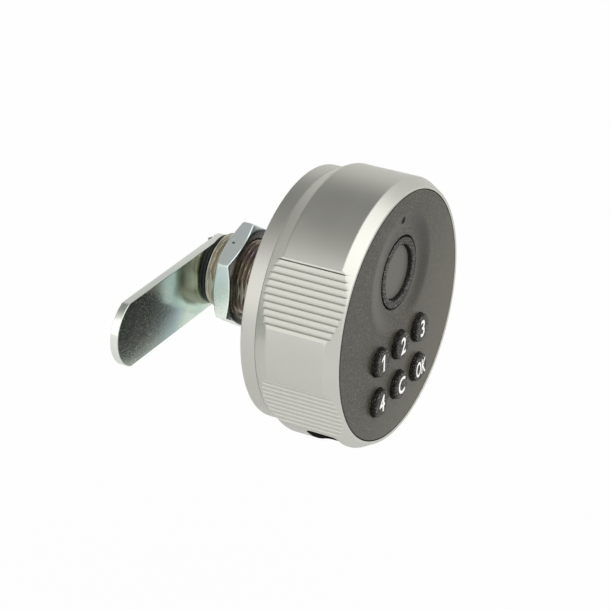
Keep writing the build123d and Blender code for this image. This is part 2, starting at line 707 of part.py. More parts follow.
def cam_screw():
    """Domed screw with a cross recess, into the spindle's end."""
    top = SCREW_HEAD_Y + CAM_SCREW_HEAD_T
    dome_r = ball_radius(CAM_SCREW_HEAD_R, CAM_SCREW_HEAD_T - CAM_SCREW_RIM)
    head = rod(CAM_SCREW_HEAD_R, SCREW_HEAD_Y, top) & (Pos(0, top - dome_r, 0) * Sphere(dome_r))
    cross = Rectangle(CROSS_SPAN, CROSS_WIDTH) + Rectangle(CROSS_WIDTH, CROSS_SPAN)
    head -= plate(cross, top - CROSS_DEPTH, top)
    return head + rod(CAM_SCREW_R, SCREW_HEAD_Y - CAM_SCREW_LENGTH, SCREW_HEAD_Y)


def fence_sketch():
    """Low wall round the battery, kept on the deck."""
    outer = Rectangle(*[size + 2 * (FENCE_GAP + FENCE_T) for size in BATTERY_SIZE])
    inner = Rectangle(*[size + 2 * FENCE_GAP for size in BATTERY_SIZE])
    return (Pos(*BATTERY_CENTRE) * (outer - inner)) & Circle(COLLAR_R)


def chassis():
    """Moulded frame: floor ring on the hub, collar, deck, posts and battery fence."""
    part = turned([
        (HUB_R + CHASSIS_FIT, FLOOR_REAR_Y),
        (CHASSIS_R, FLOOR_REAR_Y),
        (CHASSIS_R, FLOOR_FRONT_Y),
        (COLLAR_R, FLOOR_FRONT_Y),
        (COLLAR_R, DECK_FRONT_Y),
        (0, DECK_FRONT_Y),
        (0, DECK_REAR_Y),
        (COLLAR_BORE_R, DECK_REAR_Y),
        (COLLAR_BORE_R, FLOOR_FRONT_Y),
        (HUB_R + CHASSIS_FIT, FLOOR_FRONT_Y),
    ])
    part += plate(fence_sketch(), DECK_FRONT_Y - FENCE_HEIGHT, DECK_FRONT_Y)
    for angle in POST_ANGLES:
        x, z = polar(POST_CIRCLE_R, angle)
        part += rod(POST_R, BOARD_REAR_Y, FLOOR_FRONT_Y, x, z)
        end = BOARD_FRONT_Y + BOARD_SCREW_LENGTH + SEAT_GAP
        part -= rod(SMALL_SCREW_R - SMALL_SCREW_FIT, BOARD_REAR_Y, end, x, z)
    hole = [SMALL_SCREW_R + SMALL_SCREW_FIT, SMALL_HEAD_R + SMALL_SCREW_FIT, CHASSIS_FLOOR_T]
    for angle in SHELL_BOSS_ANGLES:
        x, z = polar(SHELL_BOSS_CIRCLE_R, angle)
        part -= turned(countersunk_screw(*hole, FLOOR_REAR_Y, -1), x, z)
    part -= rod(CLUTCH_PIN_R + CLUTCH_PIN_FIT, DECK_FRONT_Y, DECK_REAR_Y, 0, CLUTCH_Z)
    x, z = polar(STOP_CIRCLE_R, STOP_ANGLE)
    return part - rod(STOP_PIN_R + STOP_PIN_FIT, FLOOR_FRONT_Y, FLOOR_REAR_Y, x, z)


def chassis_screws():
    """Three countersunk screws from the rear of the chassis into the shell's bosses."""
    outline = countersunk_screw(SMALL_SCREW_R, SMALL_HEAD_R, CHASSIS_SCREW_LENGTH, FLOOR_REAR_Y, -1)
    places = [polar(SHELL_BOSS_CIRCLE_R, angle) for angle in SHELL_BOSS_ANGLES]
    return Compound(children=[turned(outline, x, z) for x, z in places])


def board_screws():
    """Three pan head screws that hold the board on the chassis posts."""
    shank_r = SMALL_SCREW_R - 2 * SMALL_SCREW_FIT
    tip = BOARD_FRONT_Y + BOARD_SCREW_LENGTH
    top = BOARD_FRONT_Y - BOARD_SCREW_HEAD_T
    outline = [
        (0, top),
        (shank_r, top),
        (BOARD_SCREW_HEAD_R, top + BOARD_SCREW_HEAD_T / 2),
        (BOARD_SCREW_HEAD_R, BOARD_FRONT_Y),
        (shank_r, BOARD_FRONT_Y),
        (shank_r, tip),
        (0, tip),
    ]
    places = [polar(POST_CIRCLE_R, angle) for angle in POST_ANGLES]
    return Compound(children=[turned(outline, x, z) for x, z in places])


def battery():
    """Flat cell with soft long edges, on the deck."""
    outline = Pos(*BATTERY_CENTRE) * Rectangle(*BATTERY_SIZE)
    block = plate(outline, BATTERY_REAR_Y - BATTERY_T, BATTERY_REAR_Y)
    return fillet(block.edges().filter_by(Axis.X), BATTERY_EDGE_R)


def clutch_coil():
    """Coil between two cheeks, with a bore for the clutch pin."""
    rear = DECK_FRONT_Y - SEAT_GAP
    bore = CLUTCH_PIN_R + CLUTCH_PIN_FIT
    winding_r = COIL_R - COIL_WINDING_INSET
    return turned([
        (bore, COIL_FRONT_Y),
        (COIL_R, COIL_FRONT_Y),
        (COIL_R, COIL_FRONT_Y + COIL_CHEEK_T),
        (winding_r, COIL_FRONT_Y + COIL_CHEEK_T),
        (winding_r, rear - COIL_CHEEK_T),
        (COIL_R, rear - COIL_CHEEK_T),
        (COIL_R, rear),
        (bore, rear),
    ], 0, CLUTCH_Z)


def clutch_pin():
    """Pin through the coil and the deck into a slot of the spindle's head."""
    return rod(CLUTCH_PIN_R, COIL_FRONT_Y + CLUTCH_TRAVEL, CLUTCH_TIP_Y, 0, CLUTCH_Z)


def stop_pin():
    """Pin pressed in the chassis floor, running in the base's groove."""
    x, z = polar(STOP_CIRCLE_R, STOP_ANGLE)
    tip = BOSS_FRONT_Y + STOP_DEPTH - STOP_PIN_TIP_GAP
    return rod(STOP_PIN_R, FLOOR_FRONT_Y, tip, x, z)


def retaining_clip():
    """Open spring ring with two eared ends, in the hub's groove."""
    inner = HUB_R - CLIP_GROOVE_DEPTH + SEAT_GAP
    outer = inner + CLIP_BAND
    outline = ring_sketch(outer, inner)
    side = 2 * outer
    half = CLIP_OPENING / 2
    edge = polar(side, half)
    wedge = make_face(Polyline((0, 0), edge, (side, 0), (edge[0], -edge[1]), close=True))
    outline -= Rot(0, 0, -90) * wedge
    ear_circle = (inner + outer) / 2
    for turn in (-90 - half, -90 + half):
        ear = Pos(*polar(ear_circle, turn))
        outline += (ear * Circle(CLIP_EAR_R)) - Circle(inner)
        outline -= ear * Circle(CLIP_EAR_HOLE_R)
    return plate(outline, CLIP_REAR_Y - CLIP_T, CLIP_REAR_Y)


PARTS = {
    "knob_shell": knob_shell,
    "front_panel": front_panel,
    "sensor_bezel": sensor_bezel,
    "fingerprint_sensor": fingerprint_sensor,
    "key_mat": key_mat,
    "contact_domes": contact_domes,
    "light_pipe": light_pipe,
    "status_light": status_light,
    "circuit_board": circuit_board,
    "board_screws": board_screws,
    "charge_socket": charge_socket,
    "chassis": chassis,
    "chassis_screws": chassis_screws,
    "battery": battery,
    "clutch_coil": clutch_coil,
    "clutch_pin": clutch_pin,
    "stop_pin": stop_pin,
    "retaining_clip": retaining_clip,
    "base_flange": base_flange,
    "threaded_barrel": threaded_barrel,
    "barrel_screws": barrel_screws,
    "mounting_nut": mounting_nut,
    "spindle": spindle,
    "cam_spacer": cam_spacer,
    "cam": cam,
    "lock_washer": lock_washer,
    "cam_screw": cam_screw,
}

os.makedirs("parts", exist_ok=True)
for name, build in PARTS.items():
    export_step(build(), f"parts/{name}.step")
for name, place in zip(KEY_NAMES, key_places()):
    export_step(key_cap(*place), f"parts/{name}.step")
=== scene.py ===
import logging
import math
from dataclasses import dataclass, field
from enum import Enum

import bmesh
import bpy
from mathutils import Matrix, Vector


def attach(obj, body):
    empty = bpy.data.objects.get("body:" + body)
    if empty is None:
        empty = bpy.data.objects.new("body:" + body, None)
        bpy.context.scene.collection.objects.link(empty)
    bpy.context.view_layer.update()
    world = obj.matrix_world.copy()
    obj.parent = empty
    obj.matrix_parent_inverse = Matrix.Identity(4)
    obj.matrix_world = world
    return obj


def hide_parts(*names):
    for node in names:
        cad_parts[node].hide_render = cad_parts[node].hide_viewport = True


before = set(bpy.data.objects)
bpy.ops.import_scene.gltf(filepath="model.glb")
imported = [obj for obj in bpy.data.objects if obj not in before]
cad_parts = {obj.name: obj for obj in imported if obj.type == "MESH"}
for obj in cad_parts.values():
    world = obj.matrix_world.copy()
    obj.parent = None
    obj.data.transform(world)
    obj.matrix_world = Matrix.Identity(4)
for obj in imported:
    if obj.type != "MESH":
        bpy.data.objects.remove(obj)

# Shapes are written in millimetres and made in metres
MM = 0.001

# Groups of numbers; a corner is a profile's point with the length of its rounding
Flat = tuple[float, float]
Triple = tuple[float, float, float]
Colour = Point = Corner = Triple
Face = tuple[int, ...]

# Edges that turn by more degrees than this stay sharp, where a piece says nothing else
SHARP = 35.0

# Millimetres that cutting tools start before the face that they go into
BEYOND = 1.0

WHITE = (1.0, 1.0, 1.0)

# The shader's socket for the strength of its shine
SHINE = "Specular IOR Level"

# Warm cast of the dark parts' shine
WARM = ("Specular Tint", (1.0, 0.985, 0.92, 1.0))

log = logging.getLogger("fingerprint_lock")


class Cut(Enum):
    """What a carving tool does to the piece that it meets."""

    TAKE_AWAY = "DIFFERENCE"
    JOIN = "UNION"


class Body(Enum):
    """The lock's bodies that dressed pieces ride on, besides the keys' own."""

    BASE = "base"
    KNOB = "knob"
    SPINDLE = "spindle"


class Value:
    """A number, vector or colour in a shader, with arithmetic that adds the nodes for it."""

    def __init__(self, graph: "Graph", socket: bpy.types.NodeSocket) -> None:
        """Wraps an output socket.

        Args:
            graph: The node tree that the socket belongs to.
            socket: The output that carries the value.
        """
        self.graph = graph
        self.socket = socket
        self.is_vector = socket.type == "VECTOR"

    def _apply(self, operation: str, first: object, second: object) -> "Value":
        """Adds one Math or Vector Math node."""
        kind = "ShaderNodeVectorMath" if self.is_vector else "ShaderNodeMath"
        return self.graph.node(kind, {"operation": operation}, {0: first, 1: second})

    def __add__(self, other: object) -> "Value":
        """Value plus other."""
        return self._apply("ADD", self, other)

    def __radd__(self, other: object) -> "Value":
        """Other plus value."""
        return self._apply("ADD", other, self)

    def __sub__(self, other: object) -> "Value":
        """Value minus other."""
        return self._apply("SUBTRACT", self, other)

    def __rsub__(self, other: object) -> "Value":
        """Other minus value."""
        return self._apply("SUBTRACT", other, self)

    def __mul__(self, other: object) -> "Value":
        """Value times other."""
        return self._apply("MULTIPLY", self, other)

    def __rmul__(self, other: object) -> "Value":
        """Other times value."""
        return self._apply("MULTIPLY", other, self)

    def step(self, low: float, high: float) -> "Value":
        """Soft step from 0 below low to 1 above high."""
        reach = {"Value": self, "From Min": low, "From Max": high, "To Min": 0.0, "To Max": 1.0}
        return self.graph.node("ShaderNodeMapRange", {"interpolation_type": "SMOOTHSTEP"}, reach)

    def part(self, axis: str) -> "Value":
        """One of a vector's X, Y and Z."""
        return self.graph.node("ShaderNodeSeparateXYZ", {}, {0: self}, axis)

    def vector(self, operation: str, other: object = None) -> "Value":
        """A number that Vector Math draws from a vector, alone or with another."""
        sockets = {0: self} if other is None else {0: self, 1: other}
        return self.graph.node("ShaderNodeVectorMath", {"operation": operation}, sockets, "Value")

    def curve(self, operation: str) -> "Value":
        """A Math node of one input, such as a sine."""
        return self.graph.node("ShaderNodeMath", {"operation": operation}, {0: self})

    def dot(self, direction: Point) -> "Value":
        """Dot product of a vector with a fixed direction."""
        return self.vector("DOT_PRODUCT", direction)


class Graph:
    """A node tree, with short ways to add what the finishes need."""

    def __init__(self, tree: bpy.types.NodeTree) -> None:
        """Takes the tree to fill."""
        self.tree = tree

    def node(
        self, kind: str, settings: dict[str, object], sockets: dict[str | int, object], output: str | int = 0
    ) -> Value:
        """Adds one node, set and fed as in _add, and hands back one of its outputs."""
        return Value(self, self._add(kind, settings, sockets).outputs[output])

    def close(self, kind: str, surface: Value) -> None:
        """Adds the output node of a kind, which shows a surface."""
        self._add(kind, {}, {"Surface": surface})

    def _add(self, kind: str, settings: dict[str, object], sockets: dict[str | int, object]) -> bpy.types.Node:
        """Adds one node.

        Args:
            kind: The node's type.
            settings: Its properties, set first. A key "stops" fills its colour ramp.
            sockets: What its inputs get: a Value is linked, anything else is set.

        Returns:
            The node.
        """
        node = self.tree.nodes.new(kind)
        for key, setting in settings.items():
            if key == "stops":
                self._fill_ramp(node.color_ramp, setting)
            else:
                setattr(node, key, setting)
        for key, value in sockets.items():
            self.feed(node.inputs[key], value)
        return node

    def feed(self, socket: bpy.types.NodeSocket, value: object) -> None:
        """Links or sets one input.

        Args:
            socket: The input.
            value: A Value to link, or a number, colour or vector to set.
        """
        if isinstance(value, Value):
            self.tree.links.new(value.socket, socket)
        elif isinstance(value, tuple) and socket.type == "RGBA":
            socket.default_value = (*value, 1.0)
        else:
            socket.default_value = value

    @staticmethod
    def _fill_ramp(ramp: bpy.types.ColorRamp, stops: tuple[tuple[float, Colour], ...]) -> None:
        """Writes a colour ramp.

        Args:
            ramp: The ramp.
            stops: Place and colour of each stop.
        """
        while len(ramp.elements) < len(stops):
            ramp.elements.new(1.0)
        for element, (place, colour) in zip(ramp.elements, stops):
            element.position = place
            element.color = (*colour, 1.0)

    def ray(self, kind: str) -> Value:
        """1 for rays of a kind, such as Camera, and 0 for others."""
        return self.node("ShaderNodeLightPath", {}, {}, f"Is {kind} Ray")

    def place(self) -> Value:
        """Place on the piece in millimetres."""
        return self.node("ShaderNodeTexCoord", {}, {}, "Object") * (1000.0, 1000.0, 1000.0)

    def facing(self, direction: Point) -> Value:
        """How far the surface faces a direction of the piece, from -1 to 1."""
        return self.node("ShaderNodeTexCoord", {}, {}, "Normal").dot(direction)

    def noise(self, place: Value, scale: float, detail: float = 2.0, roughness: float = 0.5) -> Value:
        """Cloudy noise from 0 to 1, with scale features to the millimetre."""
        sockets = {"Vector": place, "Scale": scale, "Detail": detail, "Roughness": roughness}
        return self.node("ShaderNodeTexNoise", {}, sockets, 0)

    def grains(self, place: Value, scale: float) -> Value:
        """Random grey of each grain, with scale grains to the millimetre."""
        cell = self.node("ShaderNodeTexVoronoi", {}, {"Vector": place, "Scale": scale}, "Color")
        return cell.part("X")

    def blend(self, factor: object, first: object, second: object, mode: str = "MIX") -> Value:
        """Mixes two colours, the factor being the share of the second."""
        settings = {"data_type": "RGBA", "blend_type": mode, "clamp_factor": True}
        return self.node("ShaderNodeMix", settings, {0: factor, 6: first, 7: second}, 2)

    def ramp(self, factor: Value, stops: tuple[tuple[float, Colour], ...]) -> Value:
        """Colour ramp over a number."""
        return self.node("ShaderNodeValToRGB", {"stops": stops}, {0: factor})

    def bump(self, height: Value, depth: float) -> Value:
        """Surface normal of a height from 0 to 1 that is depth millimetres deep."""
        return self.node("ShaderNodeBump", {}, {"Height": height, "Distance": depth * MM, "Strength": 1.0})


def toned(colour: Colour, share: float, lift: float = 0.0) -> Colour:
    """A colour times a share, plus a lift, at most white."""
    return tuple(min(1.0, part * share + lift) for part in colour)


@dataclass(frozen=True)
class Finish:
    """A surface finish; the constants go straight on the shader."""

    name: str
    colour: Colour
    roughness: float
    metallic: float = 0.0
    constants: tuple[tuple[str, float | tuple[float, ...]], ...] = ()

    def build(self) -> bpy.types.Material:
        """Makes the material.

        Returns:
            The finished material.
        """
        material = bpy.data.materials.new(self.name)
        material.use_nodes = True
        material.diffuse_color = (*self.colour, 1.0)
        graph = Graph(material.node_tree)
        shader = next(node for node in graph.tree.nodes if node.type == "BSDF_PRINCIPLED")
        shader.inputs["Base Color"].default_value = (*self.colour, 1.0)
        shader.inputs["Roughness"].default_value = self.roughness
        shader.inputs["Metallic"].default_value = self.metallic
        for socket, number in self.constants:
            shader.inputs[socket].default_value = number
        for socket, value in self.dress(graph, graph.place()).items():
            graph.feed(shader.inputs[socket], value)
        return material

    def dress(self, graph: Graph, place: Value) -> dict[str, Value]:
        """What varies over the surface, by shader socket, at a place in millimetres."""
        raise NotImplementedError

    def gloss(self, wave: Value, swing: float) -> Value:
        """The roughness, varied by a wave from 0 to 1."""
        return self.roughness + (wave - 0.5) * swing


@dataclass(frozen=True)
class SatinCasting(Finish):
    """Bead-blasted die casting under a clear satin coat."""

    grain: float = 7.0
    grain_depth: float = 0.004
    cloud: float = 0.12
    level: float = 0.93
    grain_shade: float = 0.10
    cloud_shade: float = 0.06
    swing: float = 0.10

    def dress(self, graph: Graph, place: Value) -> dict[str, Value]:
        """Fine grain, faint clouds in the coat and slightly uneven gloss.

        Args:
            graph: The material's nodes.
            place: Place on the piece in millimetres.

        Returns:
            A Value for each shader socket that varies.
        """
        grain = graph.noise(place, self.grain, 3.0, 0.7)
        clouds = graph.noise(place, self.cloud, 3.0, 0.6)
        shade = self.level + grain * self.grain_shade + (clouds - 0.5) * self.cloud_shade
        grey = graph.node("ShaderNodeCombineColor", {}, {0: shade, 1: shade, 2: shade})
        return {
            "Base Color": graph.blend(1.0, self.colour, grey, "MULTIPLY"),
            "Roughness": self.gloss(clouds, self.swing) + (grain - 0.5) * self.swing,
            "Normal": graph.bump(grain, self.grain_depth),
        }


@dataclass(frozen=True)
class GrainedLacquer(Finish):
    """Dark lacquer with a fine metallic grain, with painted light to the lower right and on the dish's left
    wall, and painted shade on its right wall.
    """

    fleck: Colour = (0.150, 0.142, 0.095)
    # Colour of the painted light
    pale: Colour = (0.085, 0.080, 0.058)
    # Tilts over which the dish's walls take their painted light and painted shade
    wall_light_tilt: Flat = (0.02, 0.13)
    # Direction toward which the painted light grows
    slope: Point = (0.8, 0.0, -0.6)
    light_drift_span: Flat = (-10.0, 30.0)
    light_drift_share: float = 0.8
    wall_light_shares: Flat = (0.55, 0.65)
    film: Flat = (0.42, 0.68)
    flake: Flat = (0.70, 1.0)
    amounts: Flat = (0.3, 0.6)
    grain: float = 3.4
    grain_depth: float = 0.014
    swing: float = 0.25

    def dress(self, graph: Graph, place: Value) -> dict[str, Value]:
        """Flecks of two sizes in a textured film, with painted light to the lower right and on the dish's left
        wall, and painted shade on its right wall.

        Args:
            graph: The material's nodes.
            place: Place on the piece in millimetres.

        Returns:
            A Value for each shader socket that varies.
        """
        grain = graph.noise(place, self.grain, 2.0, 0.6)
        flake = graph.grains(place, self.grain * 1.6)
        by_film, by_flake = self.amounts
        amount = grain.step(*self.film) * by_film + flake.step(*self.flake) * by_flake
        # Painted light: the lacquer pales toward the lower right
        lit_lower_right = place.dot(self.slope).step(*self.light_drift_span)
        # Painted light on the dish's left wall and painted shade on its right wall, by the way each faces
        lit_left_wall = graph.facing((1.0, 0.0, 0.0)).step(*self.wall_light_tilt)
        shaded_right_wall = graph.facing((-1.0, 0.0, 0.0)).step(*self.wall_light_tilt)
        left_light_share, right_shade_share = self.wall_light_shares
        tone = graph.blend(amount, self.colour, self.fleck)
        tone = graph.blend(lit_lower_right * self.light_drift_share, tone, self.pale)
        tone = graph.blend(lit_left_wall * left_light_share, tone, self.pale)
        return {
            "Base Color": graph.blend(shaded_right_wall * right_shade_share, tone, self.colour),
            "Roughness": self.gloss(grain, self.swing),
            "Normal": graph.bump(grain, self.grain_depth),
        }


@dataclass(frozen=True)
class SpeckledMoulding(Finish):
    """Textured black plastic with small pale specks, with painted shade on its sides and painted glints on its
    top.
    """

    speck: Colour = (0.12, 0.12, 0.115)
    share: float = 0.35
    grain: float = 4.5
    grain_depth: float = 0.03
    swing: float = 0.3
    # Facing toward the front over which the top takes its painted glints and loses its painted shade
    top: Flat = (0.4, 0.95)
    side_shade_tone: float = 0.1
    side_specks: float = 0.25
    top_glint_specks: float = 0.7

    def dress(self, graph: Graph, place: Value) -> dict[str, Value]:
        """Specks on the high spots of the texture, shown mostly on the top as painted glints, with painted
        shade on the sides.

        Args:
            graph: The material's nodes.
            place: Place on the piece in millimetres.

        Returns:
            A Value for each shader socket that varies.
        """
        grain = graph.noise(place, self.grain, 2.0, 0.65)
        speck = graph.grains(place, self.grain * 1.5).step(1.0 - self.share, 1.0)
        top = graph.facing((0.0, -1.0, 0.0)).step(*self.top)
        # Painted shade: the sides, which face away from the front, are darker
        tone = graph.blend(top, toned(self.colour, self.side_shade_tone), self.colour)
        # The specks are the plastic's own; showing them mostly on the top is a painted glint
        specks_and_glints = speck * (self.side_specks + top * self.top_glint_specks)
        return {
            "Base Color": graph.blend(specks_and_glints, tone, self.speck),
            "Roughness": self.gloss(grain, self.swing),
            "Normal": graph.bump(grain, self.grain_depth),
        }


@dataclass(frozen=True)
class Glaze(Finish):
    """Smooth coating with a trace of handling."""

    cloud: float = 0.35
    grain: float = 9.0
    grain_depth: float = 0.002
    lift: float = 1.25
    smear: float = 0.08

    def dress(self, graph: Graph, place: Value) -> dict[str, Value]:
        """Faint smears in the gloss and an almost even colour.

        Args:
            graph: The material's nodes.
            place: Place on the piece in millimetres.

        Returns:
            A Value for each shader socket that varies.
        """
        cloud = graph.noise(place, self.cloud, 4.0, 0.6)
        fine = graph.noise(place, self.grain, 2.0, 0.6)
        return {
            "Base Color": graph.blend(cloud * 0.5 + fine * 0.4, self.colour, toned(self.colour, self.lift)),
            "Roughness": self.gloss(cloud, self.smear),
            "Normal": graph.bump(fine, self.grain_depth),
        }


@dataclass(frozen=True)
class ZincPlate(Finish):
    """Zinc plating with a passivate that drifts between tints."""

    tints: tuple[tuple[float, Colour], ...] = ()
    patch: float = 0.16
    pits: float = 0.25
    pit_size: Flat = (0.60, 0.72)
    pit_tone: float = 0.45
    pit_dull: float = 0.12
    shimmer: float = 0.16
    swing: float = 0.22
    relief: float = 0.010

    def dress(self, graph: Graph, place: Value) -> dict[str, Value]:
        """Drifting tints, small dull pits and a slightly wavy surface.

        Args:
            graph: The material's nodes.
            place: Place on the piece in millimetres.

        Returns:
            A Value for each shader socket that varies.
        """
        drift = graph.noise(place, self.patch, 4.0, 0.62)
        fine = graph.noise(place, 2.4, 4.0, 0.7)
        pit = graph.noise(place, 5.0, 2.0, 0.6).step(*self.pit_size)
        tint = graph.ramp(drift + (fine - 0.5) * self.shimmer, self.tints)
        return {
            "Base Color": graph.blend(pit * self.pits, tint, toned(self.colour, self.pit_tone)),
            "Roughness": self.gloss(fine, self.swing) + pit * self.pit_dull,
            "Normal": graph.bump(fine + pit * -0.3, self.relief),
        }


@dataclass(frozen=True)
class CamPlate(ZincPlate):
    """Plating of the cam: speckled toward its tip, cool in the middle, pale round its hub, with a painted
    highlight on its edges.
    """

    tip: Flat = (-30.0, -16.0)
    tip_share: float = 0.6
    speck: Colour = (0.85, 0.86, 0.80)
    speck_size: Flat = (0.84, 1.0)
    speck_grain: float = 6.5
    speck_shares: Flat = (0.55, 0.06)
    speck_dull: float = 0.25
    # Colour of the painted highlight on the cam's edges
    edge: Colour = (0.92, 0.95, 0.90)
    highlight_span: Flat = (20.18, 20.32)
    highlight_share: float = 0.8
    cool: Colour = (0.36, 0.47, 0.50)
    cool_spans: tuple[Flat, Flat] = ((-29.0, -24.0), (-20.0, -15.0))
    cool_share: float = 0.6
    hub: Colour = (0.80, 0.90, 0.80)
    hub_span: Flat = (-17.0, -12.0)
    hub_share: float = 0.5

    def dress(self, graph: Graph, place: Value) -> dict[str, Value]:
        """The plating's drift along the cam, with specks that scatter the light and a painted highlight on its
        edges.

        Args:
            graph: The material's nodes.
            place: Place on the piece in millimetres.

        Returns:
            A Value for each shader socket that varies.
        """
        sockets = super().dress(graph, place)
        along = place.part("X")
        rise, fall = self.cool_spans
        at_tip, elsewhere = self.speck_shares
        tipward = 1 - along.step(*self.tip)
        speck = graph.grains(place, self.speck_grain).step(*self.speck_size) * (tipward * at_tip + elsewhere)
        middle = along.step(*rise) * (1 - along.step(*fall))
        # Painted highlight: the cam's sides and rear, behind its front face, are made near white
        behind = place.part("Y").step(*self.highlight_span)
        tone = graph.blend(middle * self.cool_share, sockets["Base Color"], self.cool)
        tone = graph.blend(along.step(*self.hub_span) * self.hub_share, tone, self.hub)
        tone = graph.blend(tipward * self.tip_share, tone, self.colour)
        tone = graph.blend(speck, tone, self.speck)
        sockets["Base Color"] = graph.blend(behind * self.highlight_share, tone, self.edge)
        sockets["Roughness"] = sockets["Roughness"] + speck * self.speck_dull
        return sockets


@dataclass(frozen=True)
class NutPlate(ZincPlate):
    """Plating of the nut: bluish above, with painted shade on the face toward the door, and one pit."""

    blue: Colour = (0.89, 0.98, 1.0)
    # Colour of the painted shade on the front face
    front_shade: Colour = (0.10, 0.095, 0.08)
    dark: Colour = (0.03, 0.03, 0.03)
    face: Flat = (11.84, 12.05)
    rise: Flat = (1.0, 5.0)
    blue_share: float = 0.75
    front_shade_share: float = 0.85
    dark_share: float = 0.9
    haze: float = 0.12
    pit: Point = (-4.4, 14.3, 9.26)
    pit_r: Flat = (0.22, 0.36)

    def dress(self, graph: Graph, place: Value) -> dict[str, Value]:
        """The plating's drift, tinted by height, darkened in the pit, and with painted shade on the front
        face.

        Args:
            graph: The material's nodes.
            place: Place on the piece in millimetres.

        Returns:
            A Value for each shader socket that varies.
        """
        sockets = super().dress(graph, place)
        above = place.part("Z").step(*self.rise)
        # Painted shade: a dark reflection painted on the front face
        front = 1 - place.part("Y").step(*self.face)
        pit = 1 - place.vector("DISTANCE", self.pit).step(*self.pit_r)
        tone = graph.blend(above * self.blue_share, sockets["Base Color"], self.blue)
        tone = graph.blend(front * self.front_shade_share, tone, self.front_shade)
        sockets["Base Color"] = graph.blend(pit * self.dark_share, tone, self.dark)
        sockets["Roughness"] = sockets["Roughness"] + above * self.haze - front * self.haze
        return sockets


@dataclass(frozen=True)
class ThreadPlate(ZincPlate):
    """Plating of the barrel: coppery before the nut, paler behind it, bare on the flats, with painted shade
    between the crests.
    """

    pale: Colour = (0.50, 0.48, 0.39)
    # Colour of the painted shade between the crests
    dark: Colour = (0.11, 0.098, 0.080)
    bare: Colour = (0.36, 0.36, 0.29)
    border: Flat = (13.0, 14.6)
    pale_share: float = 0.8
    bare_share: float = 0.8
    valley_shade_shares: Flat = (0.8, 0.6)
    valley_r: Flat = (7.5, 7.92)
    valley_x: Flat = (7.40, 7.44)
    flat_x: Flat = (7.43, 7.445)

    def dress(self, graph: Graph, place: Value) -> dict[str, Value]:
        """The plating's drift, with painted shade between the crests.

        Args:
            graph: The material's nodes.
            place: Place on the piece in millimetres.

        Returns:
            A Value for each shader socket that varies.
        """
        sockets = super().dress(graph, place)
        behind = place.part("Y").step(*self.border)
        radius = (place * (1.0, 0.0, 1.0)).vector("LENGTH")
        side = place.part("X").curve("ABSOLUTE")
        # Painted shade in the thread's valleys, less behind the nut
        valley_shade = (1 - radius.step(*self.valley_r)) * (1 - side.step(*self.valley_x))
        before, less = self.valley_shade_shares
        tone = graph.blend(valley_shade * (before - behind * less), sockets["Base Color"], self.dark)
        tone = graph.blend(side.step(*self.flat_x) * self.bare_share, tone, self.bare)
        sockets["Base Color"] = graph.blend(behind * self.pale_share, tone, self.pale)
        return sockets


@dataclass(frozen=True)
class WorkedSteel(Finish):
    """Turned or stamped steel with fine tool marks."""

    marks: Point = (1.0, 14.0, 1.0)
    mark_depth: float = 0.006
    swing: float = 0.25
    tarnish: Flat = (0.4, 0.75)
    tarnish_tone: float = 0.72
    tarnish_share: float = 0.7

    def dress(self, graph: Graph, place: Value) -> dict[str, Value]:
        """Tool marks across one direction and a little tarnish.

        Args:
            graph: The material's nodes.
            place: Place on the piece in millimetres.

        Returns:
            A Value for each shader socket that varies.
        """
        mark = graph.noise(place * self.marks, 1.2, 3.0, 0.6)
        tarnish = graph.noise(place, 0.5, 3.0, 0.6).step(*self.tarnish) * self.tarnish_share
        return {
            "Base Color": graph.blend(tarnish, self.colour, toned(self.colour, self.tarnish_tone)),
            "Roughness": self.gloss(mark, self.swing),
            "Normal": graph.bump(mark, self.mark_depth),
        }


@dataclass(frozen=True)
class PlainMoulding(Finish):
    """Moulded or coated part inside the lock, with a fine spark-eroded texture."""

    grain: float = 6.0
    grain_depth: float = 0.01
    cloud: float = 0.2
    lift: Flat = (1.4, 0.01)
    swing: float = 0.2

    def dress(self, graph: Graph, place: Value) -> dict[str, Value]:
        """Fine texture and a faint drift of colour.

        Args:
            graph: The material's nodes.
            place: Place on the piece in millimetres.

        Returns:
            A Value for each shader socket that varies.
        """
        grain = graph.noise(place, self.grain, 2.0, 0.6)
        drift = graph.noise(place, self.cloud, 3.0, 0.5)
        return {
            "Base Color": graph.blend(drift * 0.5 + grain * 0.3, self.colour, toned(self.colour, *self.lift)),
            "Roughness": self.gloss(grain, self.swing),
            "Normal": graph.bump(grain, self.grain_depth),
        }


@dataclass(frozen=True)
class Winding(Finish):
    """Enamelled wire wound round the coil, between its cheeks."""

    wire: float = 0.16
    wire_depth: float = 0.04
    # Share of the colour left in the dips between turns, as painted shade
    valley_shade: float = 0.4
    swing: float = 0.2

    def dress(self, graph: Graph, place: Value) -> dict[str, Value]:
        """Turns of wire as fine rings along the coil's axis, with painted shade between them.

        Args:
            graph: The material's nodes.
            place: Place on the piece in millimetres.

        Returns:
            A Value for each shader socket that varies.
        """
        turn = place.part("Y") * (math.tau / self.wire)
        wave = turn.curve("SINE") * 0.5 + 0.5
        tone = graph.noise(place, 1.1, 2.0, 0.5)
        return {
            "Base Color": graph.blend(wave * 0.5 + tone * 0.4, toned(self.colour, self.valley_shade), self.colour),
            "Roughness": self.gloss(tone, self.swing),
            "Normal": graph.bump(wave, self.wire_depth),
        }


